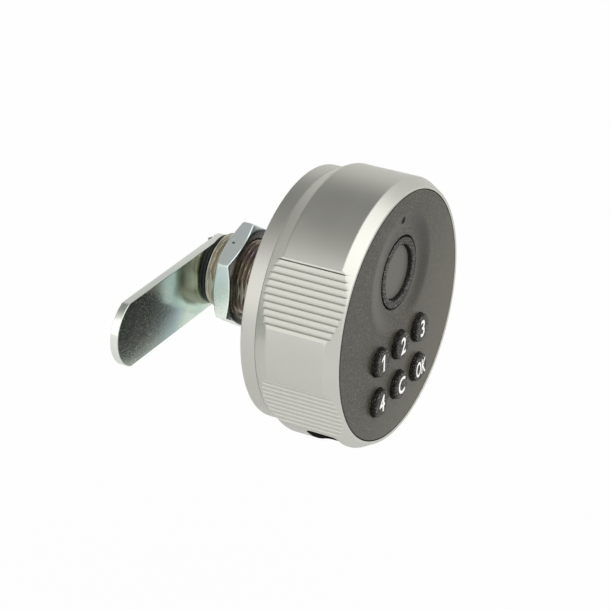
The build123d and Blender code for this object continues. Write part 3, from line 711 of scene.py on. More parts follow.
FINISHES: dict[str, Finish] = {
    "body": SatinCasting("satin_metal", (0.61, 0.61, 0.565), 0.36, 1.0),
    # Painted shade: the base's rear face is made dark, so that the cam and the nut reflect it dark
    "rear_shade": PlainMoulding("rear_painted_shade", (0.020, 0.022, 0.018), 0.7),
    "recess": PlainMoulding("recess_black", (0.003, 0.003, 0.003), 0.8, constants=((SHINE, 0.15),)),
    "panel": GrainedLacquer("panel_lacquer", (0.006, 0.005, 0.002), 0.36, constants=((SHINE, 0.46), WARM)),
    "bezel": SpeckledMoulding(
        "black_moulding", (0.014, 0.013, 0.010), 0.46, constants=((SHINE, 0.24), WARM),
        speck=(0.26, 0.26, 0.24), share=0.24,
    ),
    "sensor": Glaze("sensor_glaze", (0.082, 0.078, 0.064), 0.42),
    "key": SpeckledMoulding(
        "key_plastic", (0.020, 0.019, 0.015), 0.46, constants=((SHINE, 0.20), WARM),
        speck=(0.34, 0.34, 0.32), share=0.18,
    ),
    "legend": Glaze("legend_white", (0.84, 0.84, 0.82), 0.45),
    "pipe": Glaze("smoked_plastic", (0.002, 0.002, 0.002), 0.5, constants=((SHINE, 0.1),)),
    "cam": CamPlate(
        "zinc_blue", (0.46, 0.48, 0.43), 0.14, 1.0, patch=0.2,
        tints=(
            (0.28, (0.52, 0.63, 0.72)),
            (0.45, (0.50, 0.66, 0.60)),
            (0.60, (0.62, 0.73, 0.62)),
            (0.75, (0.66, 0.62, 0.66)),
        ),
    ),
    "nut": NutPlate(
        "zinc_nut", (0.46, 0.49, 0.45), 0.28, 1.0, relief=0.004, pits=0.12,
        tints=(
            (0.25, (0.88, 0.97, 0.96)),
            (0.45, (0.90, 0.98, 0.88)),
            (0.65, (0.90, 0.94, 0.95)),
            (0.80, (0.94, 0.90, 0.93)),
        ),
    ),
    "thread": ThreadPlate(
        "zinc_olive", (0.40, 0.33, 0.28), 0.38, 1.0, relief=0.002,
        tints=(
            (0.3, (0.50, 0.46, 0.36)),
            (0.5, (0.54, 0.46, 0.37)),
            (0.7, (0.50, 0.41, 0.41)),
        ),
    ),
    "black_steel": WorkedSteel("black_steel", (0.018, 0.018, 0.019), 0.42, 0.5),
    "bright_steel": WorkedSteel("bright_steel", (0.60, 0.60, 0.61), 0.28, 1.0),
    "dome_steel": WorkedSteel("dome_steel", (0.62, 0.62, 0.63), 0.25, 1.0, marks=(1.0, 1.0, 6.0)),
    "mat": PlainMoulding("soft_mat", (0.05, 0.05, 0.052), 0.75),
    "board": PlainMoulding("board_laminate", (0.02, 0.12, 0.05), 0.35),
    "lamp": PlainMoulding("lamp_body", (0.82, 0.82, 0.78), 0.3),
    "chassis": PlainMoulding("chassis_plastic", (0.05, 0.05, 0.055), 0.55),
    "cell": PlainMoulding("cell_foil", (0.45, 0.46, 0.48), 0.4, grain=3.0),
    "coil": Winding("coil_winding", (0.55, 0.27, 0.10), 0.35, 0.8),
}


class Workshop:
    """Dresses and mounts pieces, and keeps each finish's material."""

    def __init__(self) -> None:
        """Starts with no material made."""
        self.materials: dict[str, bpy.types.Material] = {}

    def material(self, finish: str) -> bpy.types.Material:
        """The material of a finish, made on first use.

        Args:
            finish: A key of FINISHES.

        Returns:
            Its material.
        """
        if finish not in self.materials:
            self.materials[finish] = FINISHES[finish].build()
        return self.materials[finish]

    def mount(
        self, piece: bpy.types.Object, finish: str, body: str, replaced: tuple[str, ...] = ()
    ) -> None:
        """Dresses a piece and lets it ride on its body.

        Args:
            piece: The piece, in place.
            finish: A key of FINISHES.
            body: The body it moves with.
            replaced: CAD nodes that it stands for.
        """
        piece.data.materials.clear()
        piece.data.materials.append(self.material(finish))
        if replaced:
            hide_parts(*replaced)
        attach(piece, body)
        log.info("%s rides on %s, %d faces", piece.name, body, len(piece.data.polygons))

    def dress_node(self, node: str, finish: str) -> None:
        """Gives a carried-over CAD node its material.

        Args:
            node: The node's name.
            finish: A key of FINISHES.
        """
        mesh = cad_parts[node].data
        mesh.materials.clear()
        mesh.materials.append(self.material(finish))
        log.info("%s keeps its CAD mesh, dressed in %s", node, finish)


def polar(radius: float, angle: float) -> Flat:
    """Point in the door's plane, the angle in degrees from +X towards +Z."""
    return radius * math.cos(math.radians(angle)), radius * math.sin(math.radians(angle))


def softened(corners: list[Corner], closed: bool = False, steps: int = 3) -> list[Flat]:
    """Rounds the corners of a polyline.

    Args:
        corners: Points, each with the length that its rounding takes from both sides.
        closed: True if the last point joins the first.
        steps: Segments in each rounding.

    Returns:
        The rounded polyline.
    """
    count = len(corners)
    path: list[Flat] = []
    for index, (u, v, cut) in enumerate(corners):
        at_end = not closed and index in (0, count - 1)
        if cut <= 0 or at_end:
            path.append((u, v))
            continue
        here = Vector((u, v))
        before = Vector(corners[index - 1][:2]) - here
        after = Vector(corners[(index + 1) % count][:2]) - here
        start = here + before.normalized() * min(cut, 0.45 * before.length)
        end = here + after.normalized() * min(cut, 0.45 * after.length)
        for step in range(steps + 1):
            t = step / steps
            spot = start * (1 - t) ** 2 + here * 2 * t * (1 - t) + end * t**2
            path.append((spot.x, spot.y))
    return path


def round_box(width: float, height: float, corner: float) -> list[Flat]:
    """Rectangle with round corners."""
    w, h = width / 2, height / 2
    return softened([(-w, -h, corner), (w, -h, corner), (w, h, corner), (-w, h, corner)], True, 6)


def circle(radius: float, centre: Flat = (0.0, 0.0), count: int = 64) -> list[Flat]:
    """Points of a circle."""
    spots = [polar(radius, 360.0 * index / count) for index in range(count)]
    return [(centre[0] + u, centre[1] + v) for u, v in spots]


def door_plane(y: float) -> Matrix:
    """Place whose X and Y are the door's X and Z, and whose Z points to the knob's front."""
    return Matrix(((1, 0, 0, 0), (0, 0, -1, y), (0, 1, 0, 0), (0, 0, 0, 1)))


def radial_place(angle: float, y: float) -> Matrix:
    """Place on the axis whose Z looks out at an angle and whose X runs round the body.

    Args:
        angle: Where it looks, in degrees from +X towards +Z.
        y: Its station along the axis.

    Returns:
        The place as a matrix in millimetres.
    """
    x, z = polar(1.0, angle)
    out = Vector((x, 0, z))
    across = Vector((-out.z, 0, out.x))
    place = Matrix((across, out.cross(across), out)).transposed().to_4x4()
    place.translation = Vector((0, y, 0))
    return place


def linked(name: str, data: bpy.types.ID) -> bpy.types.Object:
    """Adds an object to the scene.

    Args:
        name: Its name.
        data: Its mesh, curve, camera or light.

    Returns:
        The new object.
    """
    thing = bpy.data.objects.new(name, data)
    bpy.context.scene.collection.objects.link(thing)
    return thing


def shade(piece: bpy.types.Object, sharp: float) -> None:
    """Smooth shading with sharp edges, flats kept flat by weighted normals.

    Args:
        piece: The piece.
        sharp: Edges that turn by more degrees than this stay sharp.
    """
    form = bmesh.new()
    form.from_mesh(piece.data)
    for face in form.faces:
        face.smooth = True
    for edge in form.edges:
        edge.smooth = len(edge.link_faces) == 2 and edge.calc_face_angle(0.0) < math.radians(sharp)
    form.to_mesh(piece.data)
    form.free()
    if not piece.modifiers:
        modifier = piece.modifiers.new("flats", "WEIGHTED_NORMAL")
        modifier.keep_sharp = True
        modifier.weight = 50


def mesh_piece(name: str, points: list[Point], faces: list[Face], sharp: float = SHARP) -> bpy.types.Object:
    """Makes a piece from points in millimetres.

    Args:
        name: The piece's name.
        points: Its points.
        faces: Its faces, as indices of points.
        sharp: Edges that turn by more degrees than this stay sharp.

    Returns:
        The new object, in the scene.
    """
    mesh = bpy.data.meshes.new(name)
    mesh.from_pydata([(x * MM, y * MM, z * MM) for x, y, z in points], [], faces)
    form = bmesh.new()
    form.from_mesh(mesh)
    bmesh.ops.remove_doubles(form, verts=form.verts, dist=1e-7)
    bmesh.ops.dissolve_degenerate(form, edges=form.edges, dist=1e-8)
    bmesh.ops.recalc_face_normals(form, faces=form.faces)
    form.to_mesh(mesh)
    form.free()
    piece = linked(name, mesh)
    shade(piece, sharp)
    return piece


def strip_faces(rows: int, count: int, around: bool, first: int = 0) -> list[Face]:
    """Faces between neighbouring columns of points.

    Args:
        rows: Points in each column, which is a closed loop.
        count: Number of columns.
        around: True if the last column joins the first; otherwise both ends are capped.
        first: Index of the first column's first point.

    Returns:
        The faces, as indices of points.
    """
    faces: list[Face] = []
    for column in range(count if around else count - 1):
        here, there = first + column * rows, first + (column + 1) % count * rows
        for row in range(rows):
            after = (row + 1) % rows
            faces.append((here + row, here + after, there + after, there + row))
    if not around:
        last = first + (count - 1) * rows
        faces.append(tuple(first + row for row in range(rows)))
        faces.append(tuple(last + row for row in reversed(range(rows))))
    return faces


def skinned(
    name: str, columns: list[list[Point]], sharp: float = SHARP, around: bool = True
) -> bpy.types.Object:
    """Makes a closed piece from equal loops of points, joined all around or capped at both ends."""
    points = [point for column in columns for point in column]
    return mesh_piece(name, points, strip_faces(len(columns[0]), len(columns), around), sharp)


def lathed(
    name: str, corners: list[Corner], centre: Flat = (0.0, 0.0), count: int = 128, sharp: float = SHARP
) -> bpy.types.Object:
    """Turns a closed profile about a line along Y.

    Args:
        name: The piece's name.
        corners: Radius, station along Y and rounding of each corner.
        centre: X and Z of the line.
        count: Columns round the line.
        sharp: Edges that turn by more degrees than this stay sharp.

    Returns:
        The new object.
    """
    profile = softened(corners, closed=True)
    columns = []
    for index in range(count):
        x, z = polar(1.0, 360.0 * index / count)
        columns.append([(centre[0] + r * x, y, centre[1] + r * z) for r, y in profile])
    return skinned(name, columns, sharp)


def slab(
    name: str, outline: list[Flat], place: Matrix, low: float, high: float, sharp: float = SHARP
) -> bpy.types.Object:
    """Makes an outline in a place's X and Y solid, from low to high along that place's Z."""
    columns = [[tuple(place @ Vector((u, v, w))) for u, v in outline] for w in (low, high)]
    return skinned(name, columns, sharp, around=False)


def carve(piece: bpy.types.Object, tools: list[bpy.types.Object], cut: Cut, sharp: float = SHARP) -> None:
    """Cuts or joins tools, which are used up.

    Args:
        piece: The piece that is changed.
        tools: The tools.
        cut: What they do.
        sharp: Edges that turn by more degrees than this stay sharp.
    """
    piece.modifiers.clear()
    for tool in tools:
        tool.modifiers.clear()
        modifier = piece.modifiers.new("carve", "BOOLEAN")
        modifier.operation = cut.value
        modifier.solver = "EXACT"
        modifier.object = tool
    graph = bpy.context.evaluated_depsgraph_get()
    carved = bpy.data.meshes.new_from_object(piece.evaluated_get(graph))
    piece.modifiers.clear()
    piece.data = carved
    for tool in tools:
        bpy.data.objects.remove(tool)
    shade(piece, sharp)


@dataclass
class KnobShell:
    """Die-cast shell with grip facets, a front chamfer, a rear cone and the charging recess."""

    rim_y: float = -21.78
    ledge_y: float = -20.18
    tail_y: float = -3.35
    bore_r: float = 25.0
    seat_r: float = 26.12
    rim_r: float = 26.75
    body_r: float = 28.15
    tail_r: float = 26.55
    chamfer: float = 2.5
    tail_length: float = 3.1
    grip_angles: tuple[float, ...] = (-26.3, 26.3, 153.7, 206.3)
    grip_span: Flat = (-6.95, 7.4)
    grip_step: float = 0.15
    grip_lip: float = 0.05
    grooves: int = 10
    groove_pitch: float = 1.43
    groove_sides: Flat = (1.22, 0.18)
    groove_depth: float = 0.35
    first_ramp: float = 0.1
    ramp_shape: tuple[Flat, ...] = ((-1.0, 0.0), (-0.72, 0.10), (-0.40, 0.27), (-0.18, 0.50), (-0.06, 0.74))
    wall_shape: tuple[Flat, ...] = ((0.0, 1.0), (0.33, 0.72), (0.67, 0.26), (1.0, 0.0))
    arc_step: float = 1.5
    least_turn: float = 0.02
    recess_angle: float = 235.0
    recess_y: float = -15.33
    recess: Triple = (12.6, 7.0, 1.5)
    recess_floor_r: float = 24.25
    pad: float = 1.5
    pad_margin: float = 2.6
    pad_corner: float = 0.5
    sink: float = 0.6
    mouth_y: float = -15.58
    mouth: Triple = (9.2, 3.5, 1.35)
    mouth_reach: Flat = (20.0, 30.0)
    outside_r: float = 40.0
    boss_circle: float = 22.6
    boss_r: float = 2.0
    boss_angles: tuple[float, ...] = (75.0, 195.0, 315.0)
    boss_span: Flat = (-18.98, -8.45)
    screw_r: float = 1.0
    screw_end: float = -12.95
    black_slack: float = 0.02
    black_start: float = 0.2
    black_below: float = 1.6
    sharp: float = 32.0

    def groove(self, middle: float, face: float, ramp: float) -> list[Flat]:
        """One groove's outline: a ramp down to its bottom, then a steep wall.

        Args:
            middle: Place of its bottom across the facet.
            face: The facet's distance from the axis.
            ramp: Share of the ramp's full width.

        Returns:
            Points as distance from the axis and place across the facet.
        """
        slope, wall = self.groove_sides
        shape = [(slope * ramp * share, depth) for share, depth in self.ramp_shape]
        shape += [(wall * share, depth) for share, depth in self.wall_shape]
        return [(face - depth * self.groove_depth, middle + side) for side, depth in shape]

    def facet(self) -> list[Flat]:
        """One facet's outline, from one step to the other.

        Returns:
            Points as distance from the axis and place across the facet.
        """
        start, end = self.grip_span
        edge = math.sqrt(self.body_r**2 - start**2)
        face = edge - self.grip_step
        path = [(edge, start), (face, start + self.grip_lip)]
        for index in range(self.grooves):
            middle = (index - (self.grooves - 1) / 2) * self.groove_pitch
            path += self.groove(middle, face, 1.0 if index else self.first_ramp)
        return path + [(face, end - self.grip_lip), (math.sqrt(self.body_r**2 - end**2), end)]

    def outline(self) -> list[Flat]:
        """The body's section, once round.

        Returns:
            Points as angle and radius.
        """
        before, beyond = (math.degrees(math.asin(end / self.body_r)) for end in self.grip_span)
        path: list[Flat] = []
        for index, middle in enumerate(self.grip_angles):
            for distance, across in self.facet():
                angle = middle + math.degrees(math.atan2(across, distance))
                if path:
                    angle = max(angle, path[-1][0] + self.least_turn)
                path.append((angle, math.hypot(distance, across)))
            start = middle + beyond
            after = self.grip_angles[(index + 1) % len(self.grip_angles)] + before
            if after < start:
                after += 360.0
            steps = max(4, round((after - start) / self.arc_step))
            path += [(start + (after - start) * s / steps, self.body_r) for s in range(1, steps)]
        return path

    def column(self, angle: float, radius: float) -> list[Point]:
        """The closed profile at one angle.

        Args:
            angle: Where it stands, in degrees.
            radius: The body's radius there.

        Returns:
            Its points.
        """
        front = self.rim_y + self.chamfer * (radius - self.rim_r) / (self.body_r - self.rim_r)
        rear = self.tail_y - self.tail_length * (radius - self.tail_r) / (self.body_r - self.tail_r)
        corners = [
            (self.bore_r, self.tail_y, 0.1),
            (self.bore_r, self.ledge_y, 0.0),
            (self.seat_r, self.ledge_y, 0.0),
            (self.seat_r, self.rim_y, 0.12),
            (self.rim_r, self.rim_y, 0.14),
            (radius, front, 0.22),
            (radius, rear, 0.3),
            (self.tail_r, self.tail_y, 0.03),
        ]
        x, z = polar(1.0, angle)
        return [(r * x, y, r * z) for r, y in softened(corners, closed=True)]

    def build(self, shop: Workshop) -> None:
        """Makes the shell, with its bosses and its recess.

        Args:
            shop: Where it is dressed.
        """
        shell = skinned("knob_shell_dressed", [self.column(a, r) for a, r in self.outline()], self.sharp)
        out = radial_place(self.recess_angle, self.recess_y)
        width, length, _ = self.recess
        pad = round_box(width + self.pad_margin, length + self.pad_margin, self.pad_corner)
        in_wall = self.bore_r + self.sink
        front, rear = self.boss_span
        side, half = self.boss_r, (rear - front) / 2
        web = [(-side, -half), (side, -half), (side, half), (-side, half)]
        joined = [slab("pad", pad, out, self.recess_floor_r - self.pad, in_wall)]
        for angle in self.boss_angles:
            boss = circle(self.boss_r, polar(self.boss_circle, angle))
            joined.append(slab("boss", boss, door_plane(rear), 0.0, rear - front))
            place = radial_place(angle, (front + rear) / 2)
            joined.append(slab("web", web, place, self.boss_circle, in_wall))
        carve(shell, joined, Cut.JOIN, self.sharp)
        port = radial_place(self.recess_angle, self.mouth_y)
        tools = [
            slab("recess", round_box(*self.recess), out, self.recess_floor_r, self.outside_r),
            slab("mouth", round_box(*self.mouth), port, *self.mouth_reach),
        ]
        for angle in self.boss_angles:
            hole = circle(self.screw_r, polar(self.boss_circle, angle), 24)
            depth = BEYOND + rear - self.screw_end
            tools.append(slab("hole", hole, door_plane(rear + BEYOND), 0.0, depth))
        carve(shell, tools, Cut.TAKE_AWAY, self.sharp)
        shop.mount(shell, "body", Body.KNOB.value, ("knob_shell",))
        self.blacken(shell, out, shop)

    def blacken(self, shell: bpy.types.Object, out: Matrix, shop: Workshop) -> None:
        """Makes the recess's walls and floor black.

        Args:
            shell: The finished shell.
            out: Where the recess lies.
            shop: Where the black material is kept.
        """
        width, length, _ = self.recess
        back = out.inverted()
        shell.data.materials.append(shop.material("recess"))
        # Faces in the recess, down to a little below its floor, are made black
        for face in shell.data.polygons:
            spot = back @ (face.center / MM)
            beside = abs(spot.x) < width / 2 + self.black_slack and abs(spot.y) < length / 2 + self.black_slack
            sunk = math.hypot(face.center.x, face.center.z) / MM < self.body_r - self.black_start
            if beside and sunk and spot.z > self.recess_floor_r - self.black_below:
                face.material_index = 1


@dataclass
class FrontPanel:
    """Round grained panel with its soft finger dish, and the holes in it."""

    top_y: float = -21.78
    rear_y: float = -20.18
    radius: float = 26.0
    edge: float = 0.3
    centre_z: float = 9.5
    dish: Flat = (7.6, 13.6)
    dish_depth: float = 0.6
    dish_bend: float = 1.15
    dish_steps: int = 14
    groove: Flat = (0.22, 0.3)
    key_hole_r: float = 3.2
    light: Triple = (0.3, 21.0, 0.75)
    columns: int = 240
    sharp: float = 40.0

    def depth(self, radius: float) -> float:
        """Depth of the dish at a distance from its centre.

        Args:
            radius: The distance.

        Returns:
            The depth, 0 outside the dish.
        """
        inner, outer = self.dish
        share = min(1.0, max(0.0, (radius - inner) / (outer - inner)))
        return self.dish_depth * 0.5 * (1.0 + math.cos(math.pi * share**self.dish_bend))

    def rings(self) -> list[Triple]:
        """The panel's section, from the sensor's hole over the dish to its own edge.

        Returns:
            For each ring of points its radius, its station along Y and its centre's height.
        """
        inner, outer = self.dish
        start, sunk = self.groove
        flat = self.radius - self.edge
        rings = [
            (inner, self.rear_y, self.centre_z),
            (inner, self.top_y + self.dish_depth + sunk, self.centre_z),
        ]
        for step in range(self.dish_steps + 1):
            r = inner + start + (outer - inner - start) * step / self.dish_steps
            rings.append((r, self.top_y + self.depth(r), self.centre_z))
        for share in (0.5, 1.0):
            rings.append((outer * (1 - share) + flat * share, self.top_y, self.centre_z * (1 - share)))
        for share in (0.3, 0.65, 1.0):
            turn = math.radians(90 * share)
            drop = self.edge * (1 - math.cos(turn))
            rings.append((flat + self.edge * math.sin(turn), self.top_y + drop, 0.0))
        return rings + [(self.radius, self.rear_y, 0.0)]

    def build(self, shop: Workshop, keys: list[Flat]) -> None:
        """Makes the panel.

        Args:
            shop: Where it is dressed.
            keys: Centres of the key holes.
        """
        rings = self.rings()
        columns = []
        for index in range(self.columns):
            cos, sin = polar(1.0, 360.0 * index / self.columns)
            columns.append([(r * cos, y, height + r * sin) for r, y, height in rings])
        panel = skinned("front_panel_dressed", columns, self.sharp)
        x, z, light_r = self.light
        holes = [circle(self.key_hole_r, key) for key in keys] + [circle(light_r, (x, z), 32)]
        place = door_plane(self.rear_y + BEYOND)
        depth = self.rear_y - self.top_y + 2 * BEYOND
        carve(panel, [slab("hole", hole, place, 0.0, depth) for hole in holes], Cut.TAKE_AWAY, self.sharp)
        shop.mount(panel, "panel", Body.KNOB.value, ("front_panel",))


@dataclass
class SensorGroup:
    """The sensing disc in its speckled ring."""

    centre: Flat = (0.0, 9.5)
    ring_top: float = -21.27
    ring_rear: float = -19.68
    ledge_y: float = -20.18
    ring_r: float = 7.4
    flange_r: float = 8.6
    mouth_r: float = 5.85
    disc_r: float = 5.6
    base_r: float = 6.8
    disc_top: float = -20.48
    disc_rear: float = -18.18
    gap: float = 0.1
    seat: float = 0.05
    columns: int = 160

    def build(self, shop: Workshop) -> None:
        """Makes the ring and the disc.

        Args:
            shop: Where they are dressed.
        """
        bore = self.disc_r + self.gap
        ring = lathed("sensor_bezel_dressed", [
            (self.mouth_r, self.ring_top, 0.2),
            (self.ring_r, self.ring_top, 0.12),
            (self.ring_r, self.ledge_y, 0.0),
            (self.flange_r, self.ledge_y, 0.0),
            (self.flange_r, self.ring_rear, 0.1),
            (bore, self.ring_rear, 0.0),
            (bore, self.disc_top, 0.05),
        ], self.centre, self.columns)
        shop.mount(ring, "bezel", Body.KNOB.value, ("sensor_bezel",))
        step_y = self.ring_rear + self.seat
        disc = lathed("fingerprint_sensor_dressed", [
            (0.0, self.disc_top, 0.0),
            (self.disc_r, self.disc_top, 0.1),
            (self.disc_r, step_y, 0.0),
            (self.base_r, step_y, 0.1),
            (self.base_r, self.disc_rear, 0.0),
            (0.0, self.disc_rear, 0.0),
        ], self.centre, self.columns)
        shop.mount(disc, "sensor", Body.KNOB.value, ("fingerprint_sensor",))


@dataclass
class Keypad:
    """Six round keys with printed signs."""

    signs: dict[str, str] = field(default_factory=lambda: {
        "key_1": "1", "key_2": "2", "key_3": "3", "key_4": "4", "key_c": "C", "key_ok": "OK",
    })
    pitch_x: float = 8.85
    pitch_z: float = 9.2
    top_row_z: float = -6.5
    cap_y: float = -22.95
    cap_edge: float = 0.42
    cap_slope: float = 1.27
    skirt_y: float = -20.18
    rear_y: float = -19.68
    top_r: float = 2.9
    skirt_r: float = 3.1
    flange_r: float = 3.75
    columns: int = 80
    sharp: float = 50.0
    sign_height: float = 3.75
    sign_narrow: float = 0.86
    sign_widest: float = 4.3
    pair_height: float = 0.92
    print_sink: float = 0.02
    print_t: float = 0.05
    letter_t: float = 0.01
    letter_swell: float = 0.014
    letter_steps: int = 8
    one: tuple[Flat, ...] = (
        (0.42, -1.87), (0.42, 1.87), (0.02, 1.87), (-0.85, 1.12), (-0.85, 0.55), (-0.12, 1.10), (-0.12, -1.87),
    )

    def places(self) -> list[Flat]:
        """Centres of the keys in the order of their signs."""
        return [((n % 3 - 1) * self.pitch_x, self.top_row_z - n // 3 * self.pitch_z) for n in range(6)]

    def letters(self, name: str, text: str) -> bpy.types.Mesh:
        """Makes letters of the built-in font, lying flat and of no set size.

        Args:
            name: The mesh's name.
            text: What they say.

        Returns:
            Their mesh.
        """
        letters = bpy.data.curves.new(name, "FONT")
        letters.body = text
        letters.size = 1.0
        letters.extrude = self.letter_t
        letters.offset = self.letter_swell
        letters.resolution_u = self.letter_steps
        carrier = linked(name + "_letters", letters)
        graph = bpy.context.evaluated_depsgraph_get()
        mesh = bpy.data.meshes.new_from_object(carrier.evaluated_get(graph))
        bpy.data.objects.remove(carrier)
        return mesh

    def sign(self, name: str, text: str, centre: Flat) -> bpy.types.Object:
        """Makes one printed sign; the digit 1 has an outline of its own.

        Args:
            name: The piece's name.
            text: What it says.
            centre: The key's centre.

        Returns:
            The new object.
        """
        if text == "1":
            one = [(centre[0] + u, centre[1] + v) for u, v in self.one]
            return slab(name, one, door_plane(self.cap_y + self.print_sink), 0.0, self.print_t)
        mesh = self.letters(name, text)
        low = [min(v.co[i] for v in mesh.vertices) for i in range(3)]
        high = [max(v.co[i] for v in mesh.vertices) for i in range(3)]
        height = self.sign_height * (self.pair_height if len(text) > 1 else 1.0)
        width = height * (high[0] - low[0]) / (high[1] - low[1]) * self.sign_narrow
        width = min(width, self.sign_widest)
        for vertex in mesh.vertices:
            u, v, w = ((vertex.co[i] - low[i]) / (high[i] - low[i]) for i in range(3))
            x = centre[0] + (u - 0.5) * width
            z = centre[1] + (v - 0.5) * height
            vertex.co = Vector((x, self.cap_y + self.print_sink - w * self.print_t, z)) * MM
        return linked(name, mesh)

    def build(self, shop: Workshop) -> None:
        """Makes the keys and their signs.

        Args:
            shop: Where they are dressed.
        """
        for (name, text), centre in zip(self.signs.items(), self.places()):
            cap = lathed(name + "_cap", [
                (0.0, self.cap_y, 0.0),
                (self.top_r, self.cap_y, self.cap_edge),
                (self.skirt_r, self.cap_y + self.cap_slope, 0.0),
                (self.skirt_r, self.skirt_y, 0.0),
                (self.flange_r, self.skirt_y, 0.05),
                (self.flange_r, self.rear_y, 0.05),
                (0.0, self.rear_y, 0.0),
            ], centre, self.columns, self.sharp)
            shop.mount(cap, "key", name + "_body", (name,))
            shop.mount(self.sign(name + "_sign", text, centre), "legend", name + "_body")


@dataclass
class ChargeSocket:
    """The charging receptacle at the bottom of the recess: a drawn shell and a tongue."""

    angle: float = 235.0
    y: float = -15.58
    outer: Triple = (8.9, 3.2, 1.2)
    wall: float = 0.3
    back: float = 0.6
    lip: Flat = (0.16, 0.1)
    length: float = 7.0
    mouth_r: float = 24.25
    tongue: float = 0.7
    tongue_corner: float = 0.2
    tongue_gap: float = 0.9
    sharp: float = 30.0

    def build(self, shop: Workshop) -> None:
        """Makes the shell and the tongue.

        Args:
            shop: Where they are dressed.
        """
        place = radial_place(self.angle, self.y)
        width, height, corner = self.outer
        lip_in, lip_t = self.lip
        outer = round_box(*self.outer)
        mouth = round_box(width - lip_in, height - lip_in, corner)
        inner = round_box(width - 2 * self.wall, height - 2 * self.wall, corner - self.wall)
        low, high = self.mouth_r - self.length, self.mouth_r
        loops = [(outer, low), (outer, high - lip_t), (mouth, high), (inner, high), (inner, low + self.back)]
        columns = [[tuple(place @ Vector((u, v, w))) for u, v in loop] for loop, w in loops]
        can = skinned("charge_socket_can", columns, self.sharp, around=False)
        shop.mount(can, "bright_steel", Body.KNOB.value, ("charge_socket",))
        bar = round_box(width - 4 * self.wall - self.tongue_gap, self.tongue, self.tongue_corner)
        tongue = slab("charge_socket_tongue", bar, place, low + self.back, high - self.tongue_gap)
        shop.mount(tongue, "bezel", Body.KNOB.value)


@dataclass
class BaseFlange:
    """Fixed ring on the door, with the boss, hub and clip groove that the knob turns on."""

    flange_r: float = 26.55
    flange_front: float = -3.29
    boss_r: float = 24.92
    boss_front: float = -6.2
    hub_r: float = 15.4
    hub_bore: float = 13.2
    hub_front: float = -10.6
    web_y: float = -2.4
    hole_r: float = 8.2
    clip: Triple = (14.7, -9.65, -8.5)
    edge: float = 0.28
    front_edge: float = 0.04
    columns: int = 256
    shade_facing: float = 0.95
    shade_slack: float = 0.05

    def build(self, shop: Workshop) -> None:
        """Makes the base, with painted shade on its rear face in a dark material.

        Args:
            shop: Where it is dressed.
        """
        groove_r, groove_front, groove_rear = self.clip
        base = lathed("base_flange_dressed", [
            (self.hole_r, 0.0, 0.2),
            (self.flange_r, 0.0, self.edge),
            (self.flange_r, self.flange_front, self.front_edge),
            (self.boss_r, self.flange_front, 0.05),
            (self.boss_r, self.boss_front, 0.2),
            (self.hub_r, self.boss_front, 0.1),
            (self.hub_r, groove_rear, 0.05),
            (groove_r, groove_rear, 0.0),
            (groove_r, groove_front, 0.0),
            (self.hub_r, groove_front, 0.05),
            (self.hub_r, self.hub_front, 0.2),
            (self.hub_bore, self.hub_front, 0.2),
            (self.hub_bore, self.web_y, 0.0),
            (self.hole_r, self.web_y, 0.0),
        ], count=self.columns)
        shop.mount(base, "body", Body.BASE.value, ("base_flange",))
        # Painted shade: the rear face, toward the door, is made dark, so that the cam and the nut reflect it
        # dark
        base.data.materials.append(shop.material("rear_shade"))
        for face in base.data.polygons:
            if face.normal.y > self.shade_facing and face.center.y > -self.shade_slack * MM:
                face.material_index = 1


@dataclass
class Barrel:
    """Threaded barrel with a flat on each side."""

    radius: float = 8.0
    flat: float = 7.45
    bore: float = 5.05
    shoulder_r: float = 8.15
    head_r: float = 13.0
    head_y: float = -4.6
    head_edge: float = 0.2
    web_y: float = -2.4
    start_y: float = 0.001
    end_y: float = 19.45
    pitch: float = 1.06
    depth: float = 0.6
    crest: float = 0.12
    flank: float = 0.76
    run_in: Flat = (0.4, 0.5)
    chamfer: Flat = (0.7, 0.9)
    columns: int = 144
    rows: int = 260
    sharp: float = 28.0

    def thread_radius(self, angle: float, y: float) -> float:
        """Radius of the thread, less at its run-in and at the end's chamfer.

        Args:
            angle: Where, in degrees.
            y: Station along the axis.

        Returns:
            The radius there.
        """
        turn = (y / self.pitch - angle / 360.0) % 1.0
        rise = abs(2.0 * turn - 1.0)
        groove = min(1.0, max(0.0, (rise - self.crest) / self.flank))
        end = max(0.0, y - (self.end_y - self.chamfer[0])) * self.chamfer[1]
        start = max(0.0, self.run_in[0] - y) * self.run_in[1]
        return self.radius - self.depth * groove - max(end, start)

    def build(self, shop: Workshop) -> None:
        """Makes the barrel.

        Args:
            shop: Where it is dressed.
        """
        head = [
            (self.bore, self.head_y),
            (self.head_r - self.head_edge, self.head_y),
            (self.head_r, self.head_y + self.head_edge),
            (self.head_r, self.web_y),
            (self.shoulder_r, self.web_y),
            (self.shoulder_r, 0.0),
        ]
        columns = []
        for index in range(self.columns):
            angle = 360.0 * index / self.columns
            cos, sin = polar(1.0, angle)
            column = [(r * cos, y, r * sin) for r, y in head]
            for row in range(self.rows + 1):
                y = self.start_y + (self.end_y - self.start_y) * row / self.rows
                r = self.thread_radius(angle, y)
                column.append((min(self.flat, max(-self.flat, r * cos)), y, r * sin))
            column.append((self.bore * cos, self.end_y, self.bore * sin))
            columns.append(column)
        barrel = skinned("threaded_barrel_dressed", columns, self.sharp)
        shop.mount(barrel, "thread", Body.BASE.value, ("threaded_barrel",))


